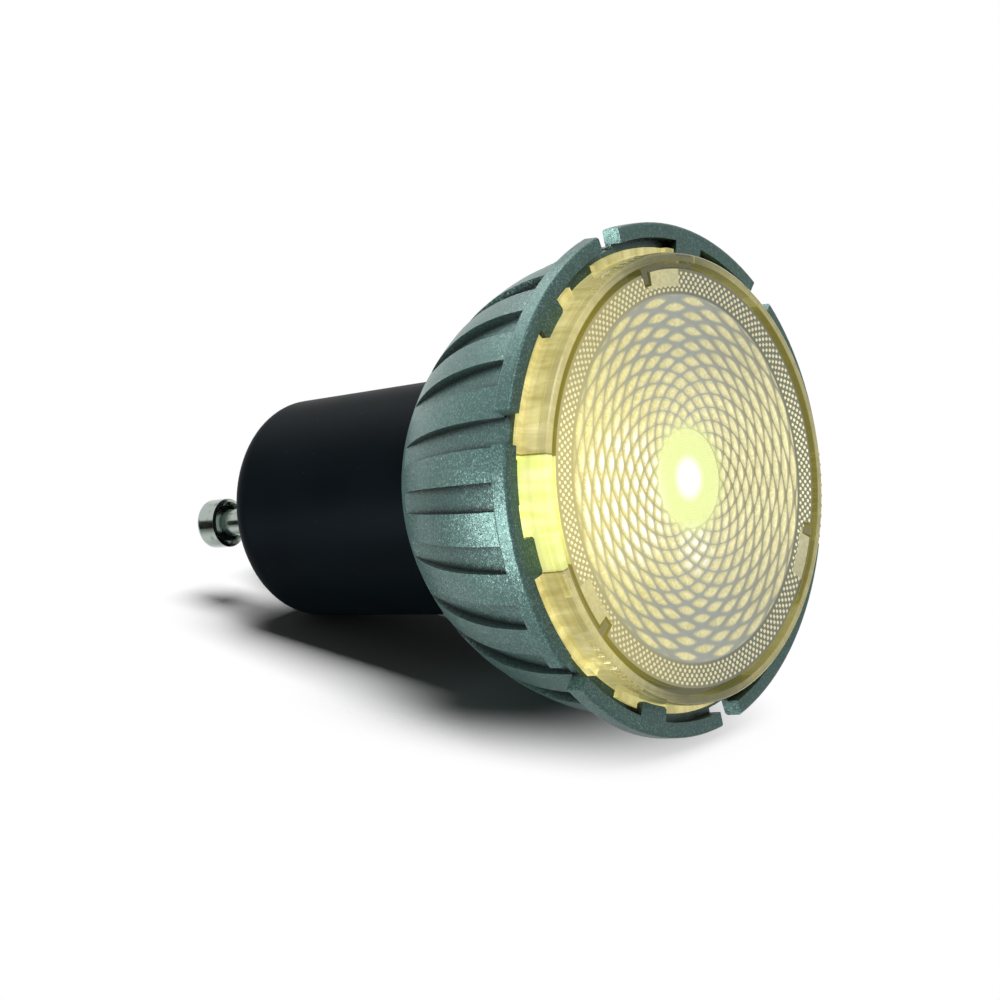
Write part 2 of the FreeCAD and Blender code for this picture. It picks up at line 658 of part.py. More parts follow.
def contact_pin(side):
    """Turned pin: riveted collar inside, shank, neck and mushroom head with a hollow throat."""
    soft = PIN_HEAD_EDGE * (1.0 - math.sqrt(0.5))
    lip = (PIN_HEAD_RADIUS - PIN_NECK_RADIUS) * 0.3
    pin = revolve([
        (0, COLLAR_END),
        (PIN_COLLAR_RADIUS, COLLAR_END),
        (PIN_COLLAR_RADIUS, HOUSING_FLOOR),
        (PIN_SHANK_RADIUS, HOUSING_FLOOR),
        (PIN_SHANK_RADIUS, PAD_TOP),
        (PIN_NECK_RADIUS, PAD_TOP),
        (PIN_NECK_RADIUS, HEAD_FRONT + PIN_THROAT),
        (PIN_HEAD_RADIUS - 2.0 * lip, HEAD_FRONT + PIN_THROAT),
        (PIN_HEAD_RADIUS - lip, HEAD_FRONT),
        (PIN_HEAD_RADIUS, HEAD_FRONT + lip / 2.0),
        (PIN_HEAD_RADIUS, PIN_END - PIN_HEAD_EDGE),
        (PIN_HEAD_RADIUS - soft, PIN_END - soft, "arc"),
        (PIN_HEAD_RADIUS - PIN_HEAD_EDGE, PIN_END),
        (0, PIN_END),
    ])
    pin.translate(Vector(side * PIN_PITCH / 2.0, 0, 0))
    return pin


def led_lead(side):
    """Insulated lead from the card through the floor, soldered to the front of the board."""
    x = side * LED_LEAD_X
    lead = rod(LEAD_RADIUS, BOARD_FRONT - SOLDER_HEIGHT / 2.0, CARD_FRONT_Z + LED_LEAD_LENGTH, x)
    solder = Part.makeCone(LEAD_RADIUS, SOLDER_RADIUS, SOLDER_HEIGHT,
                           Vector(x, 0, BOARD_FRONT - SOLDER_HEIGHT))
    return lead.fuse(solder)


def pin_lead(side):
    """Lead from a pin's collar to the card."""
    x = side * PIN_PITCH / 2.0
    return rod(LEAD_RADIUS, CARD_BACK_Z - PIN_LEAD_LENGTH, COLLAR_END, x)


def driver_board():
    """Card that slides into the housing's rails."""
    return block(-CARD_HALF_WIDTH, CARD_HALF_WIDTH, CARD_BACK_Y, CARD_FACE_Y, CARD_FRONT_Z, CARD_BACK_Z)


def capacitor_can(radius, length, x, y, low):
    """Aluminium can lying along the card: rounded end, crimped groove near the rubber."""
    neck = radius - CAN_GROOVE
    can = revolve([
        (0, low),
        (radius - CAN_GROOVE, low),
        (radius, low + CAN_GROOVE),
        (radius, low + length * 0.82),
        (neck, low + length * 0.86, "arc"),
        (radius, low + length * 0.9),
        (radius, low + length),
        (0, low + length),
    ])
    can.translate(Vector(x, y, 0))
    return can


def bulk_capacitor():
    """Mains smoothing capacitor on the card's upper face."""
    x = -BULK_CAN_RADIUS - PART_PLAY
    y = CARD_FACE_Y + BULK_CAN_RADIUS
    low = CHIP_BACK_Z + BULK_CAN_GAP
    length = BRIDGE_FRONT_Z - BULK_CAN_GAP - low
    return capacitor_can(BULK_CAN_RADIUS, length, x, y, low)


def output_capacitor():
    """Output capacitor on the card's lower face."""
    x = OUTPUT_CAN_RADIUS + PART_PLAY / 2.0
    y = CARD_BACK_Y - OUTPUT_CAN_RADIUS
    return capacitor_can(OUTPUT_CAN_RADIUS, OUTPUT_CAN_LENGTH, x, y, CARD_FRONT_Z + OUTPUT_CAN_PLACE)


def power_inductor():
    """Drum core with its winding, standing on the card midway between the chip and the film box."""
    coil = revolve([
        (0, 0),
        (INDUCTOR_RADIUS, 0),
        (INDUCTOR_RADIUS, INDUCTOR_FLANGE),
        (INDUCTOR_WAIST, INDUCTOR_FLANGE),
        (INDUCTOR_WAIST, INDUCTOR_HEIGHT - INDUCTOR_FLANGE),
        (INDUCTOR_RADIUS, INDUCTOR_HEIGHT - INDUCTOR_FLANGE),
        (INDUCTOR_RADIUS, INDUCTOR_HEIGHT),
        (0, INDUCTOR_HEIGHT),
    ])
    coil.rotate(ORIGIN, Vector(1, 0, 0), -90.0)
    coil.translate(Vector(INDUCTOR_RADIUS, CARD_FACE_Y, (CHIP_BACK_Z + FILM_FRONT_Z) / 2.0))
    return coil


def card_block(size, x, low):
    """Moulded block on the card's upper face: width, height and length, with a corner at x."""
    width, height, length = size
    top = CARD_FACE_Y + height
    body = block(x, x + width, CARD_FACE_Y, top, low, low + length)
    tops = [edge for edge in body.Edges if all(v.Point.y > top - 0.01 for v in edge.Vertexes)]
    return body.makeChamfer(BLOCK_EDGE, tops)


def fusible_resistor():
    """Round resistor across the card between the two pin leads."""
    body = Part.makeCylinder(RESISTOR_RADIUS, RESISTOR_LENGTH, Vector(-RESISTOR_LENGTH / 2.0, 0, 0),
                             Vector(1, 0, 0))
    body.translate(Vector(0, CARD_FACE_Y + RESISTOR_RADIUS, CARD_BACK_Z - RESISTOR_BACK_PLACE))
    return body


def all_nodes():
    """Every piece of the lamp by its name."""
    screw_places = housing_screw_places()
    return {
        "heatsink": heatsink(),
        "driver_housing": driver_housing(),
        "contact_pin_1": contact_pin(1),
        "contact_pin_2": contact_pin(-1),
        "thermal_pad": thermal_pad(),
        "led_board": led_board(),
        "led_package": led_package(),
        "led_phosphor": led_phosphor(),
        "board_screw_1": board_screw(1),
        "board_screw_2": board_screw(-1),
        "housing_screw_1": housing_screw(*screw_places[0]),
        "housing_screw_2": housing_screw(*screw_places[1]),
        "lens_cup": lens_cup(),
        "collimator_lens": collimator_lens(),
        "driver_board": driver_board(),
        "bulk_capacitor": bulk_capacitor(),
        "output_capacitor": output_capacitor(),
        "power_inductor": power_inductor(),
        "film_capacitor": card_block(FILM_SIZE, PART_PLAY / 2.0, FILM_FRONT_Z),
        "bridge_rectifier": card_block(BRIDGE_SIZE, -BRIDGE_SIZE[0] - PART_PLAY, BRIDGE_FRONT_Z),
        "driver_chip": card_block(CHIP_SIZE, -CHIP_SIZE[0] / 2.0, CHIP_FRONT_Z),
        "fusible_resistor": fusible_resistor(),
        "led_lead_1": led_lead(1),
        "led_lead_2": led_lead(-1),
        "pin_lead_1": pin_lead(1),
        "pin_lead_2": pin_lead(-1),
    }


os.makedirs("parts", exist_ok=True)
for name, shape in all_nodes().items():
    shape.exportStep(os.path.join("parts", name + ".step"))
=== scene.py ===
"""Looks of a GU10 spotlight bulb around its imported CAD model.

The row frame holds: +Z runs along the lamp's axis to the contact pins, z = 0 is the front of
the clear ring, metres. The lamp stands on its clear ring, and the camera looks from below.
"""

import bpy
import numpy as np
from mathutils import Matrix, Vector


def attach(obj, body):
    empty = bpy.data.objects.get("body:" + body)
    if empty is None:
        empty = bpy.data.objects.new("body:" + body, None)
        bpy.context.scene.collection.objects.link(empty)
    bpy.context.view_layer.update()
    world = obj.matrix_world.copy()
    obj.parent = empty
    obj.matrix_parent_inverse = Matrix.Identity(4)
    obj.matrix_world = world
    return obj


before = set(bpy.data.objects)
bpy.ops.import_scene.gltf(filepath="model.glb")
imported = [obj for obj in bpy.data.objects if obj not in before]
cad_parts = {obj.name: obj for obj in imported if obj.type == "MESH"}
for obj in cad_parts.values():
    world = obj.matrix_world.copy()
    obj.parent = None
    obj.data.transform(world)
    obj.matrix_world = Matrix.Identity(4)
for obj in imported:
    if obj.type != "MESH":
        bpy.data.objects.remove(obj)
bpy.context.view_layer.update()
MM = 0.001

# Directions across the lamp's axis, as the picture shows it
TOWARD_EYE = (0.986, 0.168, 0.0)
UP_IN_PICTURE = (-0.168, 0.986, 0.0)

# The lamp's own sizes that the stage needs, in millimetres
RIM_RADIUS = 25.0
RIM_MIDDLE = 3.25          # middle of the rim's edge, from the front
BARREL_RADIUS = 11.1       # where the barrel's rounded back edge starts
BARREL_END = 48.25

# The clear ring's wall, in millimetres and degrees
WALL_RADIUS = 22.0         # where the streaks have their width
STREAK_WIDTH = 1.0
SECTORS = 3                # stretches in which the wall changes
SECTOR_TURN = 3.75         # direction of the middle of one of them
SECTOR_ANGLE = 29.5

# Sizes of the optic's relief, in millimetres and degrees
FACE_Z = 0.13              # plane that the relief stands on
SKIN_BACK_Z = 0.3          # the relief pieces end inside the optic
HOLE_RADIUS = 0.02         # the grid starts here, too small to be seen
CENTRE_RADIUS = 4.8        # border between the fine centre and the lens cells
CELL_BORDER = 17.85        # border between the lens cells and the dotted band
FACE_RADIUS = 20.25
CELLS_PER_ROW = 18
CELL_ROW_PITCH = 0.735
FIRST_ROW = 5.5
CELL_TURN = 9.0            # direction of one cell of the first row
CELL_HEIGHT = 0.17
CELL_FULLNESS = 0.6        # power of the net: the lower it is, the steeper a cell's sides
CELL_FADE = 0.35           # the cells sink to the border over this width
LEE_STEP = 0.15            # a cell's slope is taken over twice this length
FINE_PER_ROW = 80
FINE_ROW_PITCH = 0.3
FINE_HEIGHT = 0.035
FINE_FADE = 0.15           # the fine net sinks to its border over this width
MIDDLE_START = 0.9         # between these radii the fine net rises from the smooth middle
MIDDLE_END = 1.8
FINE_LEVEL = 0.35          # relief attribute of the smooth middle
FINE_SWING = 0.4           # what the fine net adds to it
DOTS_PER_ROW = 160
DOT_ROW_PITCH = 0.42
DOT_HEIGHT = 0.13
DOT_START = 18.2
DOT_END = 20.05
DOT_FOOT = 0.05            # height of the wave at a dot's foot
DOT_TOP = 0.8              # height of the wave where a dot's flat top starts
DOT_LEVEL = 0.08           # relief attribute between the dots
DOT_SWING = 0.85           # what a dot adds to it
PAD_LEVEL = 0.2            # what a plain pad adds to it
SOFT_EDGE = 0.2            # width over which a relief starts or ends
NOTCHES = 3                # each has a plain pad after it
FIRST_NOTCH = 87.5
NOTCH_HALF = 1.95          # half the angle of a notch
NOTCH_RADIUS = 18.95
PAD_ANGLE = 15.0
PAD_START = 18.6
PAD_EDGE = 0.1             # width of the pad's inner edge
PAD_END = 0.3              # half the angle over which the dots give way to a pad
NOTCH_TURNS = [FIRST_NOTCH + 360.0 / NOTCHES * step for step in range(NOTCHES)]


def colour(code):
    """Linear colour of an sRGB hex value."""
    parts = [int(code[i:i + 2], 16) / 255.0 for i in (1, 3, 5)]
    linear = [c / 12.92 if c <= 0.04045 else ((c + 0.055) / 1.055) ** 2.4 for c in parts]
    return (*linear, 1.0)


def add(tree, kind, inputs=None, **settings):
    """Adds one node with its settings, and fills its sockets with values or links."""
    made = tree.nodes.new(kind)
    for name, value in settings.items():
        setattr(made, name, value)
    for socket, value in (inputs or {}).items():
        if isinstance(value, bpy.types.NodeSocket):
            tree.links.new(value, made.inputs[socket])
        else:
            made.inputs[socket].default_value = value
    return made


def new_material(name):
    """Empty node material and its tree."""
    made = bpy.data.materials.new(name)
    made.use_nodes = True
    made.node_tree.nodes.clear()
    return made, made.node_tree


def dress(material, *names):
    """Gives CAD nodes their material."""
    for name in names:
        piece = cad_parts[name]
        piece.data.materials.clear()
        piece.data.materials.append(material)


# Materials of the outside

def flake_paint():
    """Die-cast aluminium, sprayed with metal-flake enamel and baked.

    The eye sees a dull green-grey with very fine pale flakes, which sparkle where the
    surface turns to the light. Rare bright specks are painted glints, and painted shade
    darkens the creases and the feet of the groove walls. Flakes are 0.06 mm, drawn at
    0.13 mm so that they show.
    """
    made, tree = new_material("flake_enamel_on_cast_aluminium")
    place = add(tree, "ShaderNodeTexCoord").outputs["Object"]
    clouds = add(tree, "ShaderNodeTexNoise", {"Vector": place, "Scale": 1 / (5 * MM), "Detail": 3.0})
    peel = add(tree, "ShaderNodeTexNoise", {"Vector": place, "Scale": 1 / (0.5 * MM), "Detail": 3.0})
    flakes = add(tree, "ShaderNodeTexVoronoi", {"Vector": place, "Scale": 1 / (0.13 * MM)})
    specks = add(tree, "ShaderNodeTexVoronoi", {"Vector": place, "Scale": 1 / (0.42 * MM)})
    split = add(tree, "ShaderNodeSeparateColor", {"Color": flakes.outputs["Color"]})
    chosen = add(tree, "ShaderNodeMapRange", {
        "Value": split.outputs[0], "From Min": 0.6, "From Max": 1.0})
    # Painted glints: rare specks of bright #b4cac3 that look lit under any lamp
    lone = add(tree, "ShaderNodeSeparateColor", {"Color": specks.outputs["Color"]})
    rare = add(tree, "ShaderNodeMath", {0: lone.outputs[0], 1: 0.955}, operation="GREATER_THAN")
    core = add(tree, "ShaderNodeMath", {0: specks.outputs["Distance"], 1: 0.15}, operation="LESS_THAN")
    painted_glint_speck = add(tree, "ShaderNodeMath", {0: rare.outputs[0], 1: core.outputs[0]}, operation="MULTIPLY")
    body = add(tree, "ShaderNodeMix", {
        0: clouds.outputs[0], 6: colour("#425f5b"), 7: colour("#4d6c67")}, data_type="RGBA")
    flaked = add(tree, "ShaderNodeMix", {
        0: chosen.outputs[0], 6: body.outputs[2], 7: colour("#6d8a84")}, data_type="RGBA")
    glint_specked = add(tree, "ShaderNodeMix", {
        0: painted_glint_speck.outputs[0], 6: flaked.outputs[2], 7: colour("#b4cac3")}, data_type="RGBA")
    # Painted shade: the enamel darkens toward #131d1b where the occlusion finds a crease or the foot of a
    # groove wall
    open_sky = add(tree, "ShaderNodeAmbientOcclusion", {"Distance": 1.8 * MM}, samples=8, only_local=True)
    painted_crease_shade = add(tree, "ShaderNodeMapRange", {
        "Value": open_sky.outputs["AO"], "From Min": 0.94, "From Max": 0.58, "To Max": 0.95})
    crease_shaded = add(tree, "ShaderNodeMix", {
        0: painted_crease_shade.outputs[0], 6: glint_specked.outputs[2], 7: colour("#131d1b")}, data_type="RGBA")
    centred = add(tree, "ShaderNodeVectorMath", {
        0: flakes.outputs["Color"], 1: (0.5, 0.5, 0.5)}, operation="SUBTRACT")
    tilt = add(tree, "ShaderNodeVectorMath", {0: centred.outputs[0], "Scale": 0.2}, operation="SCALE")
    skin = add(tree, "ShaderNodeBump", {
        "Height": peel.outputs[0], "Strength": 0.35, "Distance": 0.03 * MM})
    leaning = add(tree, "ShaderNodeVectorMath", {0: skin.outputs[0], 1: tilt.outputs[0]})
    normal = add(tree, "ShaderNodeVectorMath", {0: leaning.outputs[0]}, operation="NORMALIZE")
    shader = add(tree, "ShaderNodeBsdfPrincipled", {
        "Base Color": crease_shaded.outputs[2], "Metallic": 0.42, "Roughness": 0.34,
        "Specular IOR Level": 0.3, "Normal": normal.outputs[0]})
    add(tree, "ShaderNodeOutputMaterial", {"Surface": shader.outputs[0]})
    return made


def black_plastic():
    """Injection-moulded PBT in black, from a finely spark-eroded mould.

    The eye sees a smooth, very dark navy black whose highlights are wide and soft.
    The mould's grain is 0.1 mm, drawn at 0.25 mm.
    """
    made, tree = new_material("black_moulded_pbt")
    place = add(tree, "ShaderNodeTexCoord").outputs["Object"]
    grain = add(tree, "ShaderNodeTexNoise", {"Vector": place, "Scale": 1 / (0.25 * MM), "Detail": 2.0})
    clouds = add(tree, "ShaderNodeTexNoise", {"Vector": place, "Scale": 1 / (6 * MM), "Detail": 3.0})
    dust = add(tree, "ShaderNodeTexVoronoi", {"Vector": place, "Scale": 1 / (1.6 * MM)})
    fleck = add(tree, "ShaderNodeMapRange", {
        "Value": dust.outputs["Distance"], "From Min": 0.07, "From Max": 0.04})
    body = add(tree, "ShaderNodeMix", {
        0: clouds.outputs[0], 6: colour("#080c0f"), 7: colour("#0d1417")}, data_type="RGBA")
    dusted = add(tree, "ShaderNodeMix", {
        0: fleck.outputs[0], 6: body.outputs[2], 7: colour("#1c292d")}, data_type="RGBA")
    dull = add(tree, "ShaderNodeMapRange", {
        "Value": clouds.outputs[0], "To Min": 0.36, "To Max": 0.44})
    skin = add(tree, "ShaderNodeBump", {
        "Height": grain.outputs[0], "Strength": 0.12, "Distance": 0.02 * MM})
    shader = add(tree, "ShaderNodeBsdfPrincipled", {
        "Base Color": dusted.outputs[2], "Roughness": dull.outputs[0], "IOR": 1.5,
        "Specular IOR Level": 0.014, "Specular Tint": colour("#a9ccf2"), "Normal": skin.outputs[0]})
    add(tree, "ShaderNodeOutputMaterial", {"Surface": shader.outputs[0]})
    return made


def nickel_plate():
    """Turned brass, barrel-plated with bright nickel.

    The eye sees a grey-green mirror with faint rings from the lathe and small brown stains.
    Tool rings are 0.05 mm apart, drawn at 0.3 mm.
    """
    made, tree = new_material("bright_nickel_on_turned_brass")
    place = add(tree, "ShaderNodeTexCoord").outputs["Object"]
    rings = add(tree, "ShaderNodeTexWave", {
        "Vector": place, "Scale": 1 / (0.3 * MM * 20), "Distortion": 0.6},
        bands_direction="Z")
    stains = add(tree, "ShaderNodeTexNoise", {"Vector": place, "Scale": 1 / (0.9 * MM), "Detail": 4.0})
    stained = add(tree, "ShaderNodeMapRange", {
        "Value": stains.outputs[0], "From Min": 0.55, "From Max": 0.75})
    tone = add(tree, "ShaderNodeMix", {
        0: stained.outputs[0], 6: colour("#a7b3ac"), 7: colour("#7d7464")}, data_type="RGBA")
    dull = add(tree, "ShaderNodeMapRange", {
        "Value": stains.outputs[0], "To Min": 0.12, "To Max": 0.26})
    skin = add(tree, "ShaderNodeBump", {
        "Height": rings.outputs[1], "Strength": 0.1, "Distance": 0.01 * MM})
    shader = add(tree, "ShaderNodeBsdfPrincipled", {
        "Base Color": tone.outputs[2], "Metallic": 1.0, "Roughness": dull.outputs[0],
        "Normal": skin.outputs[0]})
    add(tree, "ShaderNodeOutputMaterial", {"Surface": shader.outputs[0]})
    return made


def lit_polycarbonate():
    """Clear polycarbonate, injection-moulded and polished, with the lamp's light inside it.

    The eye sees pale yellow walls with upright streaks, olive painted shade in the groove
    beside the optic, and sharp white reflections. The glow is painted light: greener and
    brightest in the wall nearest to the eye, dimmer farther off, and a dark olive painted
    shade where it does not fill the wall. The wall changes in three sectors, with a fine
    dark line at their ends.
    Streaks are 1 mm wide.
    """
    made, tree = new_material("clear_polycarbonate_lit_from_inside")
    # Place on the ring: height, radius and direction
    place = add(tree, "ShaderNodeTexCoord").outputs["Object"]
    split = add(tree, "ShaderNodeSeparateXYZ", {0: place})
    flat = add(tree, "ShaderNodeVectorMath", {0: place, 1: (1.0, 1.0, 0.0)}, operation="MULTIPLY")
    radius = add(tree, "ShaderNodeVectorMath", {0: flat.outputs[0]}, operation="LENGTH")
    turn = add(tree, "ShaderNodeMath", {0: split.outputs[1], 1: split.outputs[0]}, operation="ARCTAN2")
    # Sectors, and the seam at each of their ends
    phase = add(tree, "ShaderNodeMath", {
        0: turn.outputs[0], 1: SECTORS, 2: -SECTORS * np.radians(SECTOR_TURN)}, operation="MULTIPLY_ADD")
    wave = add(tree, "ShaderNodeMath", {0: phase.outputs[0]}, operation="COSINE")
    sector_end = np.cos(np.radians(SECTORS * SECTOR_ANGLE / 2.0))
    sector = add(tree, "ShaderNodeMapRange", {
        "Value": wave.outputs[0], "From Min": sector_end - 0.006, "From Max": sector_end + 0.006})
    seam = add(tree, "ShaderNodeMath", {0: wave.outputs[0], 1: sector_end, 2: 0.008}, operation="COMPARE")
    # Streaks on the unrolled wall
    around = add(tree, "ShaderNodeMath", {
        0: turn.outputs[0], 1: WALL_RADIUS / STREAK_WIDTH}, operation="MULTIPLY")
    outward = add(tree, "ShaderNodeMath", {
        0: radius.outputs["Value"], 1: 1 / (4 * MM)}, operation="MULTIPLY")
    along = add(tree, "ShaderNodeMath", {0: split.outputs[2], 1: 1 / (5 * MM)}, operation="MULTIPLY")
    unrolled = add(tree, "ShaderNodeCombineXYZ", {
        0: around.outputs[0], 1: outward.outputs[0], 2: along.outputs[0]})
    streaks = add(tree, "ShaderNodeTexNoise", {
        "Vector": unrolled.outputs[0], "Scale": 1.0, "Detail": 4.0, "Distortion": 0.4})
    flow = add(tree, "ShaderNodeTexNoise", {
        "Vector": place, "Scale": 1 / (1.5 * MM), "Detail": 3.0, "Distortion": 1.2})
    # How strongly the painted glow fills a place: most on the side toward the eye, less on the far side
    toward = add(tree, "ShaderNodeVectorMath", {0: place, 1: TOWARD_EYE}, operation="DOT_PRODUCT")
    side = add(tree, "ShaderNodeMapRange", {
        "Value": toward.outputs["Value"], "From Min": 17 * MM, "From Max": 22 * MM},
        interpolation_type="SMOOTHSTEP")
    glow = add(tree, "ShaderNodeMath", {0: side.outputs[0], 1: sector.outputs[0]}, operation="MULTIPLY")
    sideways = add(tree, "ShaderNodeMath", {0: toward.outputs["Value"]}, operation="ABSOLUTE")
    farther = add(tree, "ShaderNodeMapRange", {
        "Value": toward.outputs["Value"], "From Min": 0.0, "From Max": -12 * MM,
        "To Min": 1.0, "To Max": 0.55})
    filled = add(tree, "ShaderNodeMapRange", {
        "Value": sideways.outputs[0], "From Min": 3 * MM, "From Max": 15 * MM,
        "To Max": farther.outputs[0]}, interpolation_type="SMOOTHSTEP")
    collar = add(tree, "ShaderNodeMapRange", {
        "Value": split.outputs[2], "From Min": 1.6 * MM, "From Max": 2.6 * MM, "To Max": 0.75})
    lit = add(tree, "ShaderNodeMath", {0: filled.outputs[0], 1: collar.outputs[0]}, operation="MAXIMUM")
    inner = add(tree, "ShaderNodeMapRange", {
        "Value": radius.outputs["Value"], "From Min": 21.12 * MM, "From Max": 20.98 * MM})
    upper = add(tree, "ShaderNodeMapRange", {
        "Value": split.outputs[2], "From Min": 1.3 * MM, "From Max": 0.9 * MM, "To Max": 0.55})
    # Colours, from the wall to the seam
    spread = add(tree, "ShaderNodeMapRange", {
        "Value": streaks.outputs[0], "From Min": 0.32, "From Max": 0.68})
    warm = add(tree, "ShaderNodeMix", {
        0: spread.outputs[0], 6: colour("#c2b878"), 7: colour("#ece3a6")}, data_type="RGBA")
    greyer = add(tree, "ShaderNodeMix", {
        0: upper.outputs[0], 6: warm.outputs[2], 7: colour("#a8a273")}, data_type="RGBA")
    # Painted shade: the groove beside the optic turns olive #857c38, less so within the sectors
    share = add(tree, "ShaderNodeMath", {0: sector.outputs[0], 1: -0.7, 2: 1.0}, operation="MULTIPLY_ADD")
    dark = add(tree, "ShaderNodeMath", {0: inner.outputs[0], 1: share.outputs[0]}, operation="MULTIPLY")
    groove_shaded = add(tree, "ShaderNodeMix", {
        0: dark.outputs[0], 6: greyer.outputs[2], 7: colour("#857c38")}, data_type="RGBA")
    # Painted shade: where the painted glow does not reach, the wall falls to a dark olive #53532c
    clear = add(tree, "ShaderNodeMix", {
        0: lit.outputs[0], 6: colour("#53532c"), 7: groove_shaded.outputs[2]}, data_type="RGBA")
    near_glow_tone = add(tree, "ShaderNodeMix", {
        0: spread.outputs[0], 6: colour("#dbe588"), 7: colour("#eeeab0")}, data_type="RGBA")
    glowing = add(tree, "ShaderNodeMix", {
        0: glow.outputs[0], 6: clear.outputs[2], 7: near_glow_tone.outputs[2]}, data_type="RGBA")
    lined = add(tree, "ShaderNodeMix", {
        0: seam.outputs[0], 6: glowing.outputs[2], 7: colour("#8a8142")}, data_type="RGBA")
    level = add(tree, "ShaderNodeMapRange", {
        "Value": glow.outputs[0], "To Min": 0.54, "To Max": 0.7})
    through = add(tree, "ShaderNodeMapRange", {
        "Value": glow.outputs[0], "To Min": 0.5, "To Max": 0.2})
    skin = add(tree, "ShaderNodeBump", {
        "Height": flow.outputs[0], "Strength": 0.2, "Distance": 0.06 * MM})
    shader = add(tree, "ShaderNodeBsdfPrincipled", {
        "Base Color": lined.outputs[2], "Roughness": 0.08, "IOR": 1.58,
        "Transmission Weight": through.outputs[0], "Normal": skin.outputs[0],
        "Emission Color": lined.outputs[2], "Emission Strength": level.outputs[0]})
    add(tree, "ShaderNodeOutputMaterial", {"Surface": shader.outputs[0]})
    return made


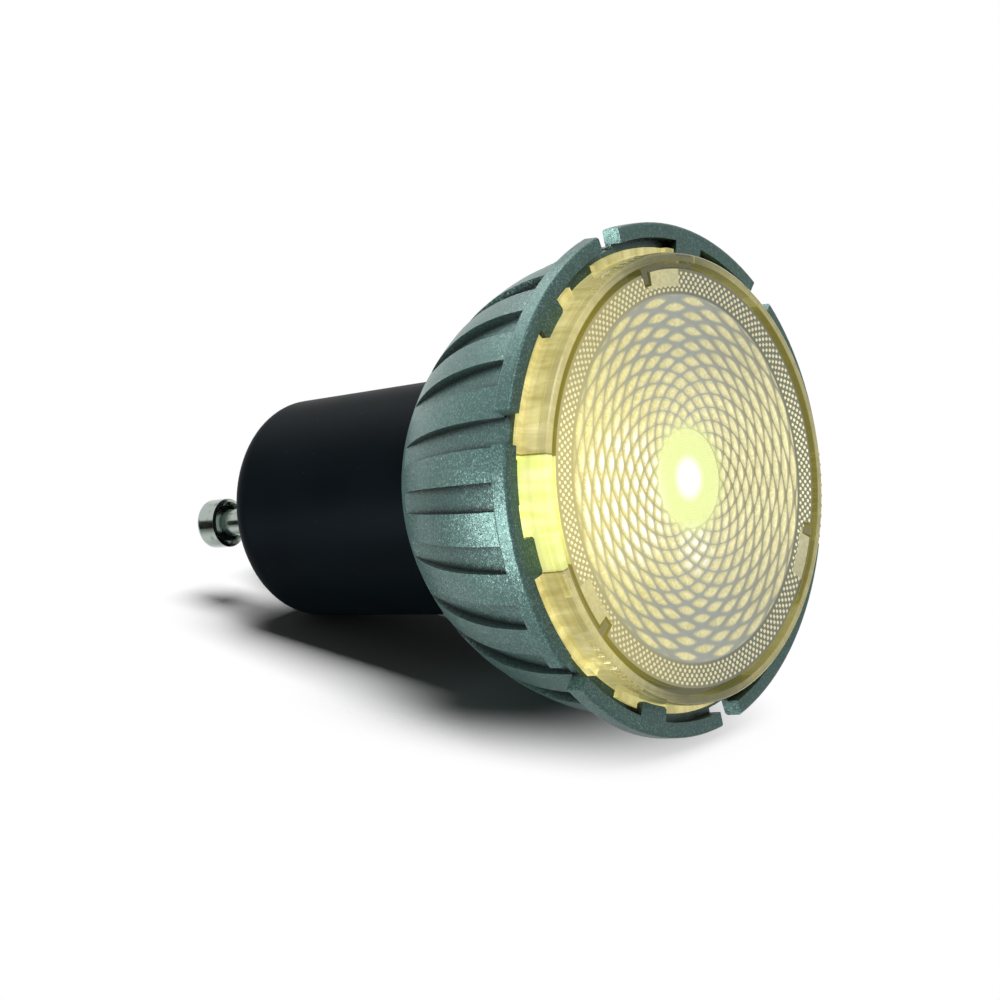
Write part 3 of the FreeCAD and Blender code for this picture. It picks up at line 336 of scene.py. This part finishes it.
def lit_optic():
    """Clear polycarbonate lens face, moulded with small lens cells, lit from behind.

    The whole pattern is painted light, given as emission. The eye sees pale yellow light in
    each cell, brightest toward the eye, with thin olive lines between the cells at the left
    and right. At the top and bottom it is a small four-pointed star on grey. Painted glints
    make white-hot cells toward the eye, and a painted white spot in the middle has a
    green-yellow halo. The far side of each cell carries a dark olive painted shade. The
    relief attribute is 0 in a groove and 1 on top of a cell, the star attribute falls from
    1 in the middle of a cell to 0 along its sides, and the lee attribute is high on a
    cell's far side.
    """
    made, tree = new_material("clear_polycarbonate_lens_cells")
    big_glint = (10.4 * MM, 0.4 * MM, 0.0)
    small_glint = (1.14 * MM, -6.7 * MM, 0.0)
    place = add(tree, "ShaderNodeTexCoord").outputs["Object"]
    relief = add(tree, "ShaderNodeAttribute", attribute_name="relief")
    star = add(tree, "ShaderNodeAttribute", attribute_name="star")
    lee = add(tree, "ShaderNodeAttribute", attribute_name="lee")
    flat = add(tree, "ShaderNodeVectorMath", {0: place, 1: (1.0, 1.0, 0.0)}, operation="MULTIPLY")
    radius = add(tree, "ShaderNodeVectorMath", {0: flat.outputs[0]}, operation="LENGTH")
    toward = add(tree, "ShaderNodeVectorMath", {0: place, 1: TOWARD_EYE}, operation="DOT_PRODUCT")
    aloft = add(tree, "ShaderNodeVectorMath", {0: place, 1: UP_IN_PICTURE}, operation="DOT_PRODUCT")
    # Near side of the face, and the share of its top and bottom
    near = add(tree, "ShaderNodeMapRange", {
        "Value": toward.outputs["Value"], "From Min": -6 * MM, "From Max": 16 * MM},
        interpolation_type="SMOOTHSTEP")
    slant = add(tree, "ShaderNodeMath", {
        0: aloft.outputs["Value"], 1: radius.outputs["Value"]}, operation="DIVIDE")
    steep = add(tree, "ShaderNodeMath", {0: slant.outputs[0], 1: slant.outputs[0]}, operation="MULTIPLY")
    streaks = add(tree, "ShaderNodeTexNoise", {
        "Vector": place, "Scale": 1 / (0.9 * MM), "Detail": 4.0, "Distortion": 2.0})
    spread = add(tree, "ShaderNodeMapRange", {
        "Value": streaks.outputs[0], "From Min": 0.35, "From Max": 0.65})
    outer = add(tree, "ShaderNodeMapRange", {
        "Value": radius.outputs["Value"], "From Min": 7 * MM, "From Max": 14 * MM},
        interpolation_type="SMOOTHSTEP")
    pointed = add(tree, "ShaderNodeMath", {0: steep.outputs[0], 1: outer.outputs[0]}, operation="MULTIPLY")
    # Outline of the lit part of a cell, the flat top of a dot and the middle of a star
    shape = add(tree, "ShaderNodeMix", {
        0: pointed.outputs[0], 2: relief.outputs["Fac"], 3: star.outputs["Fac"]})
    low = add(tree, "ShaderNodeMapRange", {"Value": pointed.outputs[0], "To Min": 0.14, "To Max": 0.1})
    high = add(tree, "ShaderNodeMapRange", {"Value": pointed.outputs[0], "To Min": 0.42, "To Max": 0.36})
    cell = add(tree, "ShaderNodeMapRange", {
        "Value": shape.outputs[0], "From Min": low.outputs[0], "From Max": high.outputs[0]},
        interpolation_type="SMOOTHSTEP")
    crown = add(tree, "ShaderNodeMapRange", {
        "Value": relief.outputs["Fac"], "From Min": 0.5, "From Max": 0.85},
        interpolation_type="SMOOTHSTEP")
    tip = add(tree, "ShaderNodeMapRange", {
        "Value": star.outputs["Fac"], "From Min": 0.2, "From Max": 0.42}, interpolation_type="SMOOTHSTEP")
    band = add(tree, "ShaderNodeMapRange", {
        "Value": radius.outputs["Value"],
        "From Min": (CELL_BORDER - 0.15) * MM, "From Max": (CELL_BORDER + 0.05) * MM})
    # Ground between the cells and dots, with painted light: lighter toward the eye, greyer at the top and
    # bottom
    thin = add(tree, "ShaderNodeMix", {
        0: near.outputs[0], 6: colour("#827d52"), 7: colour("#bcb264")}, data_type="RGBA")
    line = add(tree, "ShaderNodeMix", {
        0: steep.outputs[0], 6: thin.outputs[2], 7: colour("#a3a89c")}, data_type="RGBA")
    rim_tone = add(tree, "ShaderNodeMix", {
        0: near.outputs[0], 6: colour("#62654f"), 7: colour("#b3a86a")}, data_type="RGBA")
    ground = add(tree, "ShaderNodeMix", {
        0: band.outputs[0], 6: line.outputs[2], 7: rim_tone.outputs[2]}, data_type="RGBA")
    # Painted yellow light in the cells, brighter toward the eye and brightest on their middle
    far_tone = add(tree, "ShaderNodeMix", {
        0: spread.outputs[0], 6: colour("#d5cd94"), 7: colour("#f3ebb0")}, data_type="RGBA")
    near_tone = add(tree, "ShaderNodeMix", {
        0: spread.outputs[0], 6: colour("#e2d480"), 7: colour("#fcf2a6")}, data_type="RGBA")
    yellow = add(tree, "ShaderNodeMix", {
        0: near.outputs[0], 6: far_tone.outputs[2], 7: near_tone.outputs[2]}, data_type="RGBA")
    domed = add(tree, "ShaderNodeMapRange", {
        "Value": star.outputs["Fac"], "From Max": 0.5, "To Min": 0.76, "To Max": 1.12})
    shaded = add(tree, "ShaderNodeVectorMath", {
        0: yellow.outputs[2], "Scale": domed.outputs[0]}, operation="SCALE")
    pattern = add(tree, "ShaderNodeMix", {
        0: cell.outputs[0], 6: ground.outputs[2], 7: shaded.outputs[0]}, data_type="RGBA")
    # Painted shade on the far sides of the cells, strongest on the far half of the face
    away = add(tree, "ShaderNodeMapRange", {"Value": near.outputs[0], "To Min": 0.85, "To Max": 0.25})
    turned = add(tree, "ShaderNodeMapRange", {
        "Value": lee.outputs["Fac"], "From Min": 0.12, "From Max": 0.42, "To Max": away.outputs[0]})
    far_side_shaded = add(tree, "ShaderNodeMix", {
        0: turned.outputs[0], 6: pattern.outputs[2], 7: colour("#68633a")}, data_type="RGBA")
    # Painted white glints in two patches, and painted highlights on the tops of the dots
    first = add(tree, "ShaderNodeVectorMath", {0: flat.outputs[0], 1: big_glint}, operation="DISTANCE")
    second = add(tree, "ShaderNodeVectorMath", {0: flat.outputs[0], 1: small_glint}, operation="DISTANCE")
    wide = add(tree, "ShaderNodeMapRange", {
        "Value": first.outputs["Value"], "From Min": 8 * MM, "From Max": 5 * MM},
        interpolation_type="SMOOTHSTEP")
    small = add(tree, "ShaderNodeMapRange", {
        "Value": second.outputs["Value"], "From Min": 3 * MM, "From Max": 1.5 * MM},
        interpolation_type="SMOOTHSTEP")
    patch = add(tree, "ShaderNodeMath", {0: wide.outputs[0], 1: small.outputs[0]}, operation="MAXIMUM")
    glint = add(tree, "ShaderNodeMath", {0: patch.outputs[0], 1: tip.outputs[0]}, operation="MULTIPLY")
    dots = add(tree, "ShaderNodeMath", {0: band.outputs[0], 1: crown.outputs[0]}, operation="MULTIPLY")
    white = add(tree, "ShaderNodeMath", {0: dots.outputs[0], 1: 0.5, 2: glint.outputs[0]},
                operation="MULTIPLY_ADD", use_clamp=True)
    glinting = add(tree, "ShaderNodeMix", {
        0: white.outputs[0], 6: far_side_shaded.outputs[2], 7: colour("#fffde9")}, data_type="RGBA")
    # Painted white-hot middle and its painted halo
    hot = add(tree, "ShaderNodeMapRange", {
        "Value": radius.outputs["Value"], "From Min": 2.6 * MM, "From Max": 1.1 * MM},
        interpolation_type="SMOOTHSTEP")
    halo = add(tree, "ShaderNodeMapRange", {
        "Value": radius.outputs["Value"], "From Min": 6.4 * MM, "From Max": 3.6 * MM, "To Max": 0.85},
        interpolation_type="SMOOTHSTEP")
    fine = add(tree, "ShaderNodeMix", {
        0: crown.outputs[0], 6: colour("#dfee90"), 7: colour("#f6ffb6")}, data_type="RGBA")
    haloed = add(tree, "ShaderNodeMix", {
        0: halo.outputs[0], 6: glinting.outputs[2], 7: fine.outputs[2]}, data_type="RGBA")
    white_hot_lit = add(tree, "ShaderNodeMix", {
        0: hot.outputs[0], 6: haloed.outputs[2], 7: colour("#ffffff")}, data_type="RGBA")
    # The painted light falls off toward the top and bottom, and is a little stronger toward the eye
    height = add(tree, "ShaderNodeMath", {0: aloft.outputs["Value"]}, operation="ABSOLUTE")
    level = add(tree, "ShaderNodeMapRange", {
        "Value": height.outputs[0], "From Min": 14 * MM, "From Max": 3 * MM, "To Min": 0.7, "To Max": 1.04},
        interpolation_type="SMOOTHSTEP")
    lifted = add(tree, "ShaderNodeMath", {
        0: near.outputs[0], 1: 0.08, 2: level.outputs[0]}, operation="MULTIPLY_ADD")
    shader = add(tree, "ShaderNodeBsdfPrincipled", {
        "Base Color": colour("#3f3e2c"), "Roughness": 0.12, "IOR": 1.58,
        "Coat Weight": 0.4, "Coat Roughness": 0.05,
        "Emission Color": white_hot_lit.outputs[2], "Emission Strength": lifted.outputs[0]})
    add(tree, "ShaderNodeOutputMaterial", {"Surface": shader.outputs[0]})
    return made


# Materials of the inside

def speckled(name, dark, light, size_mm, roughness, metallic=0.0):
    """Plain moulded, plated or pressed stuff: two close tones in soft specks of a real size."""
    made, tree = new_material(name)
    place = add(tree, "ShaderNodeTexCoord").outputs["Object"]
    specks = add(tree, "ShaderNodeTexNoise", {
        "Vector": place, "Scale": 1 / (size_mm * MM), "Detail": 4.0})
    spread = add(tree, "ShaderNodeMapRange", {
        "Value": specks.outputs[0], "From Min": 0.35, "From Max": 0.65})
    tone = add(tree, "ShaderNodeMix", {
        0: spread.outputs[0], 6: colour(dark), 7: colour(light)}, data_type="RGBA")
    dull = add(tree, "ShaderNodeMapRange", {
        "Value": specks.outputs[0], "To Min": roughness - 0.06, "To Max": roughness + 0.08})
    skin = add(tree, "ShaderNodeBump", {
        "Height": specks.outputs[0], "Strength": 0.15, "Distance": 0.03 * MM})
    shader = add(tree, "ShaderNodeBsdfPrincipled", {
        "Base Color": tone.outputs[2], "Metallic": metallic, "Roughness": dull.outputs[0],
        "Normal": skin.outputs[0]})
    add(tree, "ShaderNodeOutputMaterial", {"Surface": shader.outputs[0]})
    return made


def phosphor_gel():
    """Silicone filled with yellow phosphor, cast as a dome, glowing."""
    made, tree = new_material("phosphor_in_silicone")
    place = add(tree, "ShaderNodeTexCoord").outputs["Object"]
    grains = add(tree, "ShaderNodeTexVoronoi", {"Vector": place, "Scale": 1 / (0.15 * MM)})
    tone = add(tree, "ShaderNodeMix", {
        0: grains.outputs["Distance"], 6: colour("#f7d64a"), 7: colour("#ffe98a")}, data_type="RGBA")
    shader = add(tree, "ShaderNodeBsdfPrincipled", {
        "Base Color": tone.outputs[2], "Roughness": 0.25,
        "Emission Color": tone.outputs[2], "Emission Strength": 4.0})
    add(tree, "ShaderNodeOutputMaterial", {"Surface": shader.outputs[0]})
    return made


def wound_ferrite():
    """Pressed ferrite drum with enamelled copper wire wound on its waist, 0.35 mm thick."""
    made, tree = new_material("ferrite_drum_with_copper_winding")
    place = add(tree, "ShaderNodeTexCoord").outputs["Object"]
    split = add(tree, "ShaderNodeSeparateXYZ", {0: place})
    turns = add(tree, "ShaderNodeTexWave", {
        "Vector": place, "Scale": 1 / (0.35 * MM * 20)}, bands_direction="Y")
    grains = add(tree, "ShaderNodeTexNoise", {"Vector": place, "Scale": 1 / (0.2 * MM), "Detail": 3.0})
    above = add(tree, "ShaderNodeMath", {0: split.outputs[1], 1: 0.6 * MM}, operation="GREATER_THAN")
    below = add(tree, "ShaderNodeMath", {0: split.outputs[1], 1: 4.6 * MM}, operation="LESS_THAN")
    waist = add(tree, "ShaderNodeMath", {0: above.outputs[0], 1: below.outputs[0]}, operation="MULTIPLY")
    core = add(tree, "ShaderNodeMix", {
        0: grains.outputs[0], 6: colour("#2a2a2c"), 7: colour("#3d3d40")}, data_type="RGBA")
    wire = add(tree, "ShaderNodeMix", {
        0: turns.outputs[1], 6: colour("#6b3414"), 7: colour("#c9793c")}, data_type="RGBA")
    tone = add(tree, "ShaderNodeMix", {
        0: waist.outputs[0], 6: core.outputs[2], 7: wire.outputs[2]}, data_type="RGBA")
    skin = add(tree, "ShaderNodeBump", {
        "Height": turns.outputs[1], "Strength": 0.4, "Distance": 0.1 * MM})
    shader = add(tree, "ShaderNodeBsdfPrincipled", {
        "Base Color": tone.outputs[2], "Metallic": waist.outputs[0], "Roughness": 0.38,
        "Normal": skin.outputs[0]})
    add(tree, "ShaderNodeOutputMaterial", {"Surface": shader.outputs[0]})
    return made


dress(flake_paint(), "heatsink")
dress(black_plastic(), "driver_housing")
dress(nickel_plate(), "contact_pin_1", "contact_pin_2")
dress(lit_polycarbonate(), "lens_cup", "collimator_lens")
dress(phosphor_gel(), "led_phosphor")
dress(wound_ferrite(), "power_inductor")
# Filled silicone, rolled to a sheet: dull blue-grey
dress(speckled("silicone_heat_pad", "#7f8d99", "#94a3ae", 0.8, 0.7), "thermal_pad")
# Solder mask, printed on an aluminium board and baked: even white with a low gloss
dress(speckled("white_solder_mask_on_aluminium", "#d9dad4", "#eeeee8", 1.5, 0.35), "led_board")
# Alumina, pressed and fired: satin off-white
dress(speckled("pressed_white_ceramic", "#dcdad2", "#efeee9", 0.3, 0.4), "led_package")
# Headed steel wire, zinc-plated: bright bluish grey
dress(speckled("zinc_plated_steel", "#a9acae", "#cdd0d1", 0.6, 0.3, 1.0),
      "board_screw_1", "board_screw_2", "housing_screw_1", "housing_screw_2")
# Glass cloth pressed in epoxy: green with a soft gloss
dress(speckled("green_glass_epoxy", "#1f5a34", "#2b6e42", 0.5, 0.4), "driver_board")
# PVC sleeve, shrunk on an aluminium can: glossy dark blue
dress(speckled("shrunk_pvc_sleeve", "#1b2a4a", "#24365c", 1.2, 0.3), "bulk_capacitor", "output_capacitor")
# Moulded PBT box, filled with resin: ochre with a low gloss
dress(speckled("moulded_film_box", "#b07a25", "#c88f34", 0.8, 0.35), "film_capacitor")
# Epoxy, moulded round a lead frame: matt near-black
dress(speckled("black_epoxy_moulding", "#17181a", "#242628", 0.3, 0.5), "bridge_rectifier", "driver_chip")
# Ceramic rod, dipped in lacquer: grey-green with a low gloss
dress(speckled("dipped_resistor_lacquer", "#6a8f8c", "#7fa5a0", 0.6, 0.35), "fusible_resistor")
# PVC, extruded on wire: satin red
dress(speckled("pvc_lead_insulation", "#a51d1d", "#c22a27", 0.7, 0.4),
      "led_lead_1", "led_lead_2", "pin_lead_1", "pin_lead_2")


# Relief of the optic's face

def net(radius, turn, per_row, row_pitch, first_row, start):
    """Crossed spirals: the product of |cos| of two waves, which run both ways round.

    It is 1 on top of a cell and 0 along the spirals between cells. Cells of the next row
    stand half a pitch further round.
    """
    round_phase = per_row * (turn - start) / 360.0
    out_phase = (radius - first_row) / (2.0 * row_pitch)
    one = np.abs(np.cos(np.pi * (round_phase + out_phase)))
    other = np.abs(np.cos(np.pi * (round_phase - out_phase)))
    return one * other


def leeward(radius, turn, per_row, row_pitch, first_row, start):
    """Side of each cell that turns away from the eye: how much the pillow rises toward the eye.

    It is the pillow one step nearer to the eye less the pillow one step farther from it,
    and 0 where that falls. It masks the painted shade on the cells' far sides.
    """
    along_x = radius * np.cos(np.radians(turn))
    along_y = radius * np.sin(np.radians(turn))
    ends = []
    for step in (-LEE_STEP, LEE_STEP):
        moved_x = along_x + step * TOWARD_EYE[0]
        moved_y = along_y + step * TOWARD_EYE[1]
        ends.append(net(np.hypot(moved_x, moved_y), np.degrees(np.arctan2(moved_y, moved_x)),
                        per_row, row_pitch, first_row, start) ** CELL_FULLNESS)
    return np.clip(ends[1] - ends[0], 0.0, 1.0)


def stars(radius, turn, per_row, row_pitch, first_row, start):
    """Four-pointed stars on the cells of the net: 1 in the middle of a cell.

    In each cell it is (1 - |sin|) of the way round times (1 - |sin|) of the way out.
    """
    round_phase = np.pi * per_row * (turn - start) / 360.0
    out_phase = np.pi * (radius - first_row) / (2.0 * row_pitch)
    one = (1.0 - np.abs(np.sin(round_phase))) * (1.0 - np.abs(np.sin(out_phase)))
    other = (1.0 - np.abs(np.cos(round_phase))) * (1.0 - np.abs(np.cos(out_phase)))
    return np.maximum(one, other)


def ease(value, low, high):
    """Smooth step from 0 at low to 1 at high."""
    share = np.clip((value - low) / (high - low), 0.0, 1.0)
    return share * share * (3.0 - 2.0 * share)


def turn_from(turn, start):
    """Angle from a direction, between -180 and 180 degrees."""
    return (turn - start + 180.0) % 360.0 - 180.0


def centre_relief(radius, turn):
    """Fine net that fades to a smooth middle."""
    cells = net(radius, turn, FINE_PER_ROW, FINE_ROW_PITCH, 0.0, 0.0)
    rise = ease(radius, MIDDLE_START, MIDDLE_END) * ease(CENTRE_RADIUS - radius, 0.0, FINE_FADE)
    value = FINE_LEVEL + FINE_SWING * cells * rise
    return FINE_HEIGHT * np.sqrt(cells) * rise, value, value, 0.0 * value


def cell_relief(radius, turn):
    """Big lens cells: a power of the net is a pillow with sharp grooves round it."""
    layout = (CELLS_PER_ROW, CELL_ROW_PITCH, FIRST_ROW, CELL_TURN)
    border = ease(radius, CENTRE_RADIUS, CENTRE_RADIUS + SOFT_EDGE)
    border = border * ease(CELL_BORDER - radius, 0.0, CELL_FADE)
    pillow = net(radius, turn, *layout) ** CELL_FULLNESS * border
    star = stars(radius, turn, *layout) * border
    lee = leeward(radius, turn, *layout) * border
    return CELL_HEIGHT * pillow, pillow, star, lee


def dot_relief(radius, turn):
    """Rows of small round bumps, left out on the plain pads and along the edge."""
    round_phase = DOTS_PER_ROW * turn / 360.0
    out_phase = (radius - DOT_START) / (2.0 * DOT_ROW_PITCH)
    bumps = np.cos(2 * np.pi * round_phase) * np.cos(2 * np.pi * out_phase)
    bumps = ease(bumps, DOT_FOOT, DOT_TOP)
    pads = np.zeros_like(turn)
    for start in NOTCH_TURNS:
        away = np.abs(turn_from(turn, start + PAD_ANGLE / 2.0))
        inside = ease(PAD_ANGLE / 2.0 - away, -PAD_END, PAD_END)
        pads += inside * ease(radius, PAD_START - PAD_EDGE, PAD_START)
    band = ease(radius, DOT_START - SOFT_EDGE, DOT_START) * ease(DOT_END - radius, 0.0, SOFT_EDGE)
    band = band * (1.0 - pads)
    value = DOT_LEVEL + DOT_SWING * bumps * band + PAD_LEVEL * pads
    return DOT_HEIGHT * bumps * band, value, value, 0.0 * value


def notched_outline(turn):
    """Outer radius of the dotted band: it steps inwards at the three notches."""
    outer = np.full_like(turn, FACE_RADIUS)
    for start in NOTCH_TURNS:
        inside = np.abs(turn_from(turn, start)) < NOTCH_HALF
        outer = np.where(inside, NOTCH_RADIUS, outer)
    return outer


def relief_piece(name, inner, outline, rows, turns, relief):
    """Closed ring-shaped shell whose front carries a relief.

    The front is a polar grid: radius runs from inner to outline(turn), and the height over
    the face plane is the first value of relief(radius, turn). The other three go to the
    mesh as attributes. Walls go back to a flat ring inside the optic.
    """
    shares = np.linspace(0.0, 1.0, rows)
    share, turn = np.meshgrid(shares, np.arange(turns) * 360.0 / turns, indexing="ij")
    radius = inner + share * (outline(turn) - inner)
    height, *values = relief(radius, turn)
    z = FACE_Z - height
    ring_radius = np.stack([radius[-1], radius[0]])
    all_radius = np.concatenate([radius, ring_radius])
    all_turn = np.radians(np.concatenate([turn, turn[:2]]))
    all_z = np.concatenate([z, np.full((2, turns), SKIN_BACK_Z)])
    points = np.stack([all_radius * np.cos(all_turn), all_radius * np.sin(all_turn), all_z], -1)
    rings = rows + 2
    index = np.arange(rings * turns).reshape(rings, turns)
    this = np.concatenate([index[:-1], index[-1:]])
    after = np.concatenate([index[1:], index[:1]])
    quads = np.stack([this, np.roll(this, -1, 1), np.roll(after, -1, 1), after], -1)
    mesh = bpy.data.meshes.new(name)
    mesh.from_pydata((points.reshape(-1, 3) * MM).tolist(), [], quads.reshape(-1, 4).tolist())
    mesh.polygons.foreach_set("use_smooth", np.repeat(np.arange(rings) < rows - 1, turns))
    for title, value in zip(("relief", "star", "lee"), values):
        filled = np.concatenate([value, np.zeros((2, turns))]).astype(np.float32)
        mesh.attributes.new(title, "FLOAT", "POINT").data.foreach_set("value", filled.ravel())
    mesh.materials.append(LIT_FACE)
    piece = bpy.data.objects.new(name, mesh)
    bpy.context.scene.collection.objects.link(piece)
    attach(piece, "lens_cover")


def round_outline(outer):
    """The same outer radius in every direction."""
    return lambda turn: np.full_like(turn, outer)


LIT_FACE = lit_optic()
relief_piece("optic_centre", HOLE_RADIUS, round_outline(CENTRE_RADIUS), 90, 480, centre_relief)
relief_piece("optic_cells", CENTRE_RADIUS, round_outline(CELL_BORDER), 150, 448, cell_relief)
relief_piece("optic_dots", CELL_BORDER, notched_outline, 42, 1280, dot_relief)


# Stage, lamps and camera

def stage_plane(name, centre, side, rise, material):
    """Flat card of the stage: its corners lie one side and one rise from the centre."""
    mesh = bpy.data.meshes.new(name)
    corners = [centre - side - rise, centre + side - rise, centre + side + rise, centre - side + rise]
    mesh.from_pydata(corners, [], [(0, 1, 2, 3)])
    mesh.materials.append(material)
    plane = bpy.data.objects.new(name, mesh)
    bpy.context.scene.collection.objects.link(plane)
    plane.visible_shadow = False
    plane.visible_diffuse = False
    plane.visible_glossy = False
    plane.visible_transmission = False
    return plane


def one_sided_card(name, tone, centre, stretch, clear_from, clear_to):
    """Matt card that is seen from its front only and not edge-on.

    It fades out round a centre. The stretch makes the fade an oval: the higher it is along
    an axis, the shorter the oval.
    """
    made, tree = new_material(name)
    place = add(tree, "ShaderNodeTexCoord").outputs["Object"]
    off = add(tree, "ShaderNodeVectorMath", {0: place, 1: centre}, operation="SUBTRACT")
    oval = add(tree, "ShaderNodeVectorMath", {0: off.outputs[0], 1: stretch}, operation="MULTIPLY")
    far = add(tree, "ShaderNodeVectorMath", {0: oval.outputs[0]}, operation="LENGTH")
    fade = add(tree, "ShaderNodeMapRange", {
        "Value": far.outputs["Value"], "From Min": clear_to, "From Max": clear_from},
        interpolation_type="SMOOTHSTEP")
    back = add(tree, "ShaderNodeNewGeometry")
    front = add(tree, "ShaderNodeMath", {0: 1.0, 1: back.outputs["Backfacing"]}, operation="SUBTRACT")
    faced = add(tree, "ShaderNodeMath", {0: fade.outputs[0], 1: front.outputs[0]}, operation="MULTIPLY")
    edge_on = add(tree, "ShaderNodeLayerWeight", {"Blend": 0.5})
    turned = add(tree, "ShaderNodeMapRange", {
        "Value": edge_on.outputs["Facing"], "From Min": 0.97, "From Max": 0.93})
    solid = add(tree, "ShaderNodeMath", {0: faced.outputs[0], 1: turned.outputs[0]}, operation="MULTIPLY")
    clear = add(tree, "ShaderNodeBsdfTransparent")
    matt = add(tree, "ShaderNodeBsdfDiffuse", {"Color": tone})
    mixed = add(tree, "ShaderNodeMixShader", {0: solid.outputs[0], 1: clear.outputs[0], 2: matt.outputs[0]})
    add(tree, "ShaderNodeOutputMaterial", {"Surface": mixed.outputs[0]})
    return made


# The floor lies a little under the lamp's front, and fades out far from it
across = Vector((1.0, 0.0, 0.0))
floor_centre = Vector((0.0, 0.0, -0.0004))
floor_reach = 1.6
floor_paper = one_sided_card("pale_floor", colour("#f4f4f2"), floor_centre, (1, 1, 1), 0.4, 1.3)
stage_plane("floor", floor_centre, across * floor_reach, Vector((0.0, floor_reach, 0.0)), floor_paper)

# The lamp also lies on a card, a hair's breadth from its rim and the back of its barrel.
# The card fades out round a place between them, past which the picture is white.
card_play = 0.15
rim_foot = Vector((0.0, -(RIM_RADIUS + card_play), RIM_MIDDLE)) * MM
barrel_foot = Vector((0.0, -(BARREL_RADIUS + card_play), BARREL_END)) * MM
along = (barrel_foot - rim_foot).normalized()
middle = (rim_foot + barrel_foot) / 2.0
shade = middle + Vector((0.0035, 0.0, 0.019))
shade_stretch = (1.75, 0.81, 0.81)
card_reach = 0.3
card_paper = one_sided_card("grey_card", colour("#898989"), shade, shade_stretch, 0.0215, 0.044)
card = stage_plane("table_card", middle, along * card_reach, across * card_reach, card_paper)
card.visible_glossy = True

# The pins mirror a dark flag that stands beside them, which makes their dark band
flag_centre = Vector((0.028, -0.004, 0.076))
flag_side = Vector((-0.64, 0.0, 0.758)) * 0.016
flag_rise = Vector((0.08, 0.98, 0.1)) * 0.016
flag_cloth = speckled("black_cloth", "#0c0a07", "#1c160e", 1.0, 0.8)
flag = stage_plane("dark_flag", flag_centre, flag_side, flag_rise, flag_cloth)
flag.visible_camera = False
flag.visible_glossy = True

# The eye and mirrors see a white room, and dull surfaces get little light from it
room_light = 0.14
world = bpy.data.worlds.new("studio")
bpy.context.scene.world = world
world.use_nodes = True
tree = world.node_tree
tree.nodes.clear()
ray = add(tree, "ShaderNodeLightPath")
straight = add(tree, "ShaderNodeMath", {
    0: ray.outputs["Is Camera Ray"], 1: ray.outputs["Is Transmission Ray"]}, operation="MAXIMUM")
shown = add(tree, "ShaderNodeMath", {
    0: straight.outputs[0], 1: ray.outputs["Is Glossy Ray"]}, operation="MAXIMUM")
strength = add(tree, "ShaderNodeMapRange", {"Value": shown.outputs[0], "To Min": room_light, "To Max": 1.0})
sky = add(tree, "ShaderNodeBackground", {"Color": colour("#ffffff"), "Strength": strength.outputs[0]})
add(tree, "ShaderNodeOutputWorld", {"Surface": sky.outputs[0]})


def area_lamp(name, place, aim, size, watts):
    """Square soft lamp at a place, turned to what it lights."""
    data = bpy.data.lights.new(name, "AREA")
    data.size = size
    data.energy = watts
    lamp = bpy.data.objects.new(name, data)
    direction = Vector(aim) - Vector(place)
    lamp.matrix_world = Matrix.Translation(place) @ direction.to_track_quat("-Z", "Y").to_matrix().to_4x4()
    bpy.context.scene.collection.objects.link(lamp)
    return lamp


def share_light(lamp, pieces, state):
    """Keeps a lamp's light on some pieces only, or off them."""
    group = bpy.data.collections.new(lamp.name + "_pieces")
    for piece in pieces:
        group.objects.link(piece)
    for link in group.collection_objects:
        link.light_linking.link_state = state
    lamp.light_linking.receiver_collection = group


# The card has a lamp of its own and no light from the others, so that the shadow is deep.
# The pins get no lamp's light and mirror the room and the flag alone.
pins = [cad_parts["contact_pin_1"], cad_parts["contact_pin_2"]]
for lamp in (area_lamp("above_in_picture", (-0.06, 0.5, 0.28), (0, 0, 0.025), 0.4, 1.55),
             area_lamp("left_of_picture", (0.45, -0.06, 0.38), (0, 0, 0.02), 0.24, 2.5),
             area_lamp("front_fill", (0.3, 0.45, -0.3), (0, 0, 0.0), 0.4, 1.4)):
    share_light(lamp, [card, *pins], "EXCLUDE")
card_lamp = area_lamp("over_the_card", (-0.12, 1.12, -0.25), (0, 0, 0.025), 0.7, 60.0)
share_light(card_lamp, [card], "INCLUDE")

# The picture's camera: its place, and what is right, down and forward in the picture
view = bpy.data.cameras.new("picture_view")
view.sensor_width = 36.0
view.lens = 159.85
view.clip_start = 0.01
camera = bpy.data.objects.new("picture_view", view)
eye = Vector((0.336139, 0.057609, -0.259115))
right = Vector((-0.61403, -0.18542, -0.76719))
down = Vector((0.21932, -0.97382, 0.05982))
forward = Vector((-0.7582, -0.13152, 0.63862))
turned = Matrix((right, -down, -forward)).transposed().to_4x4()
camera.matrix_world = Matrix.Translation(eye) @ turned
bpy.context.scene.collection.objects.link(camera)
bpy.context.scene.camera = camera
bpy.context.scene.view_settings.view_transform = "Standard"
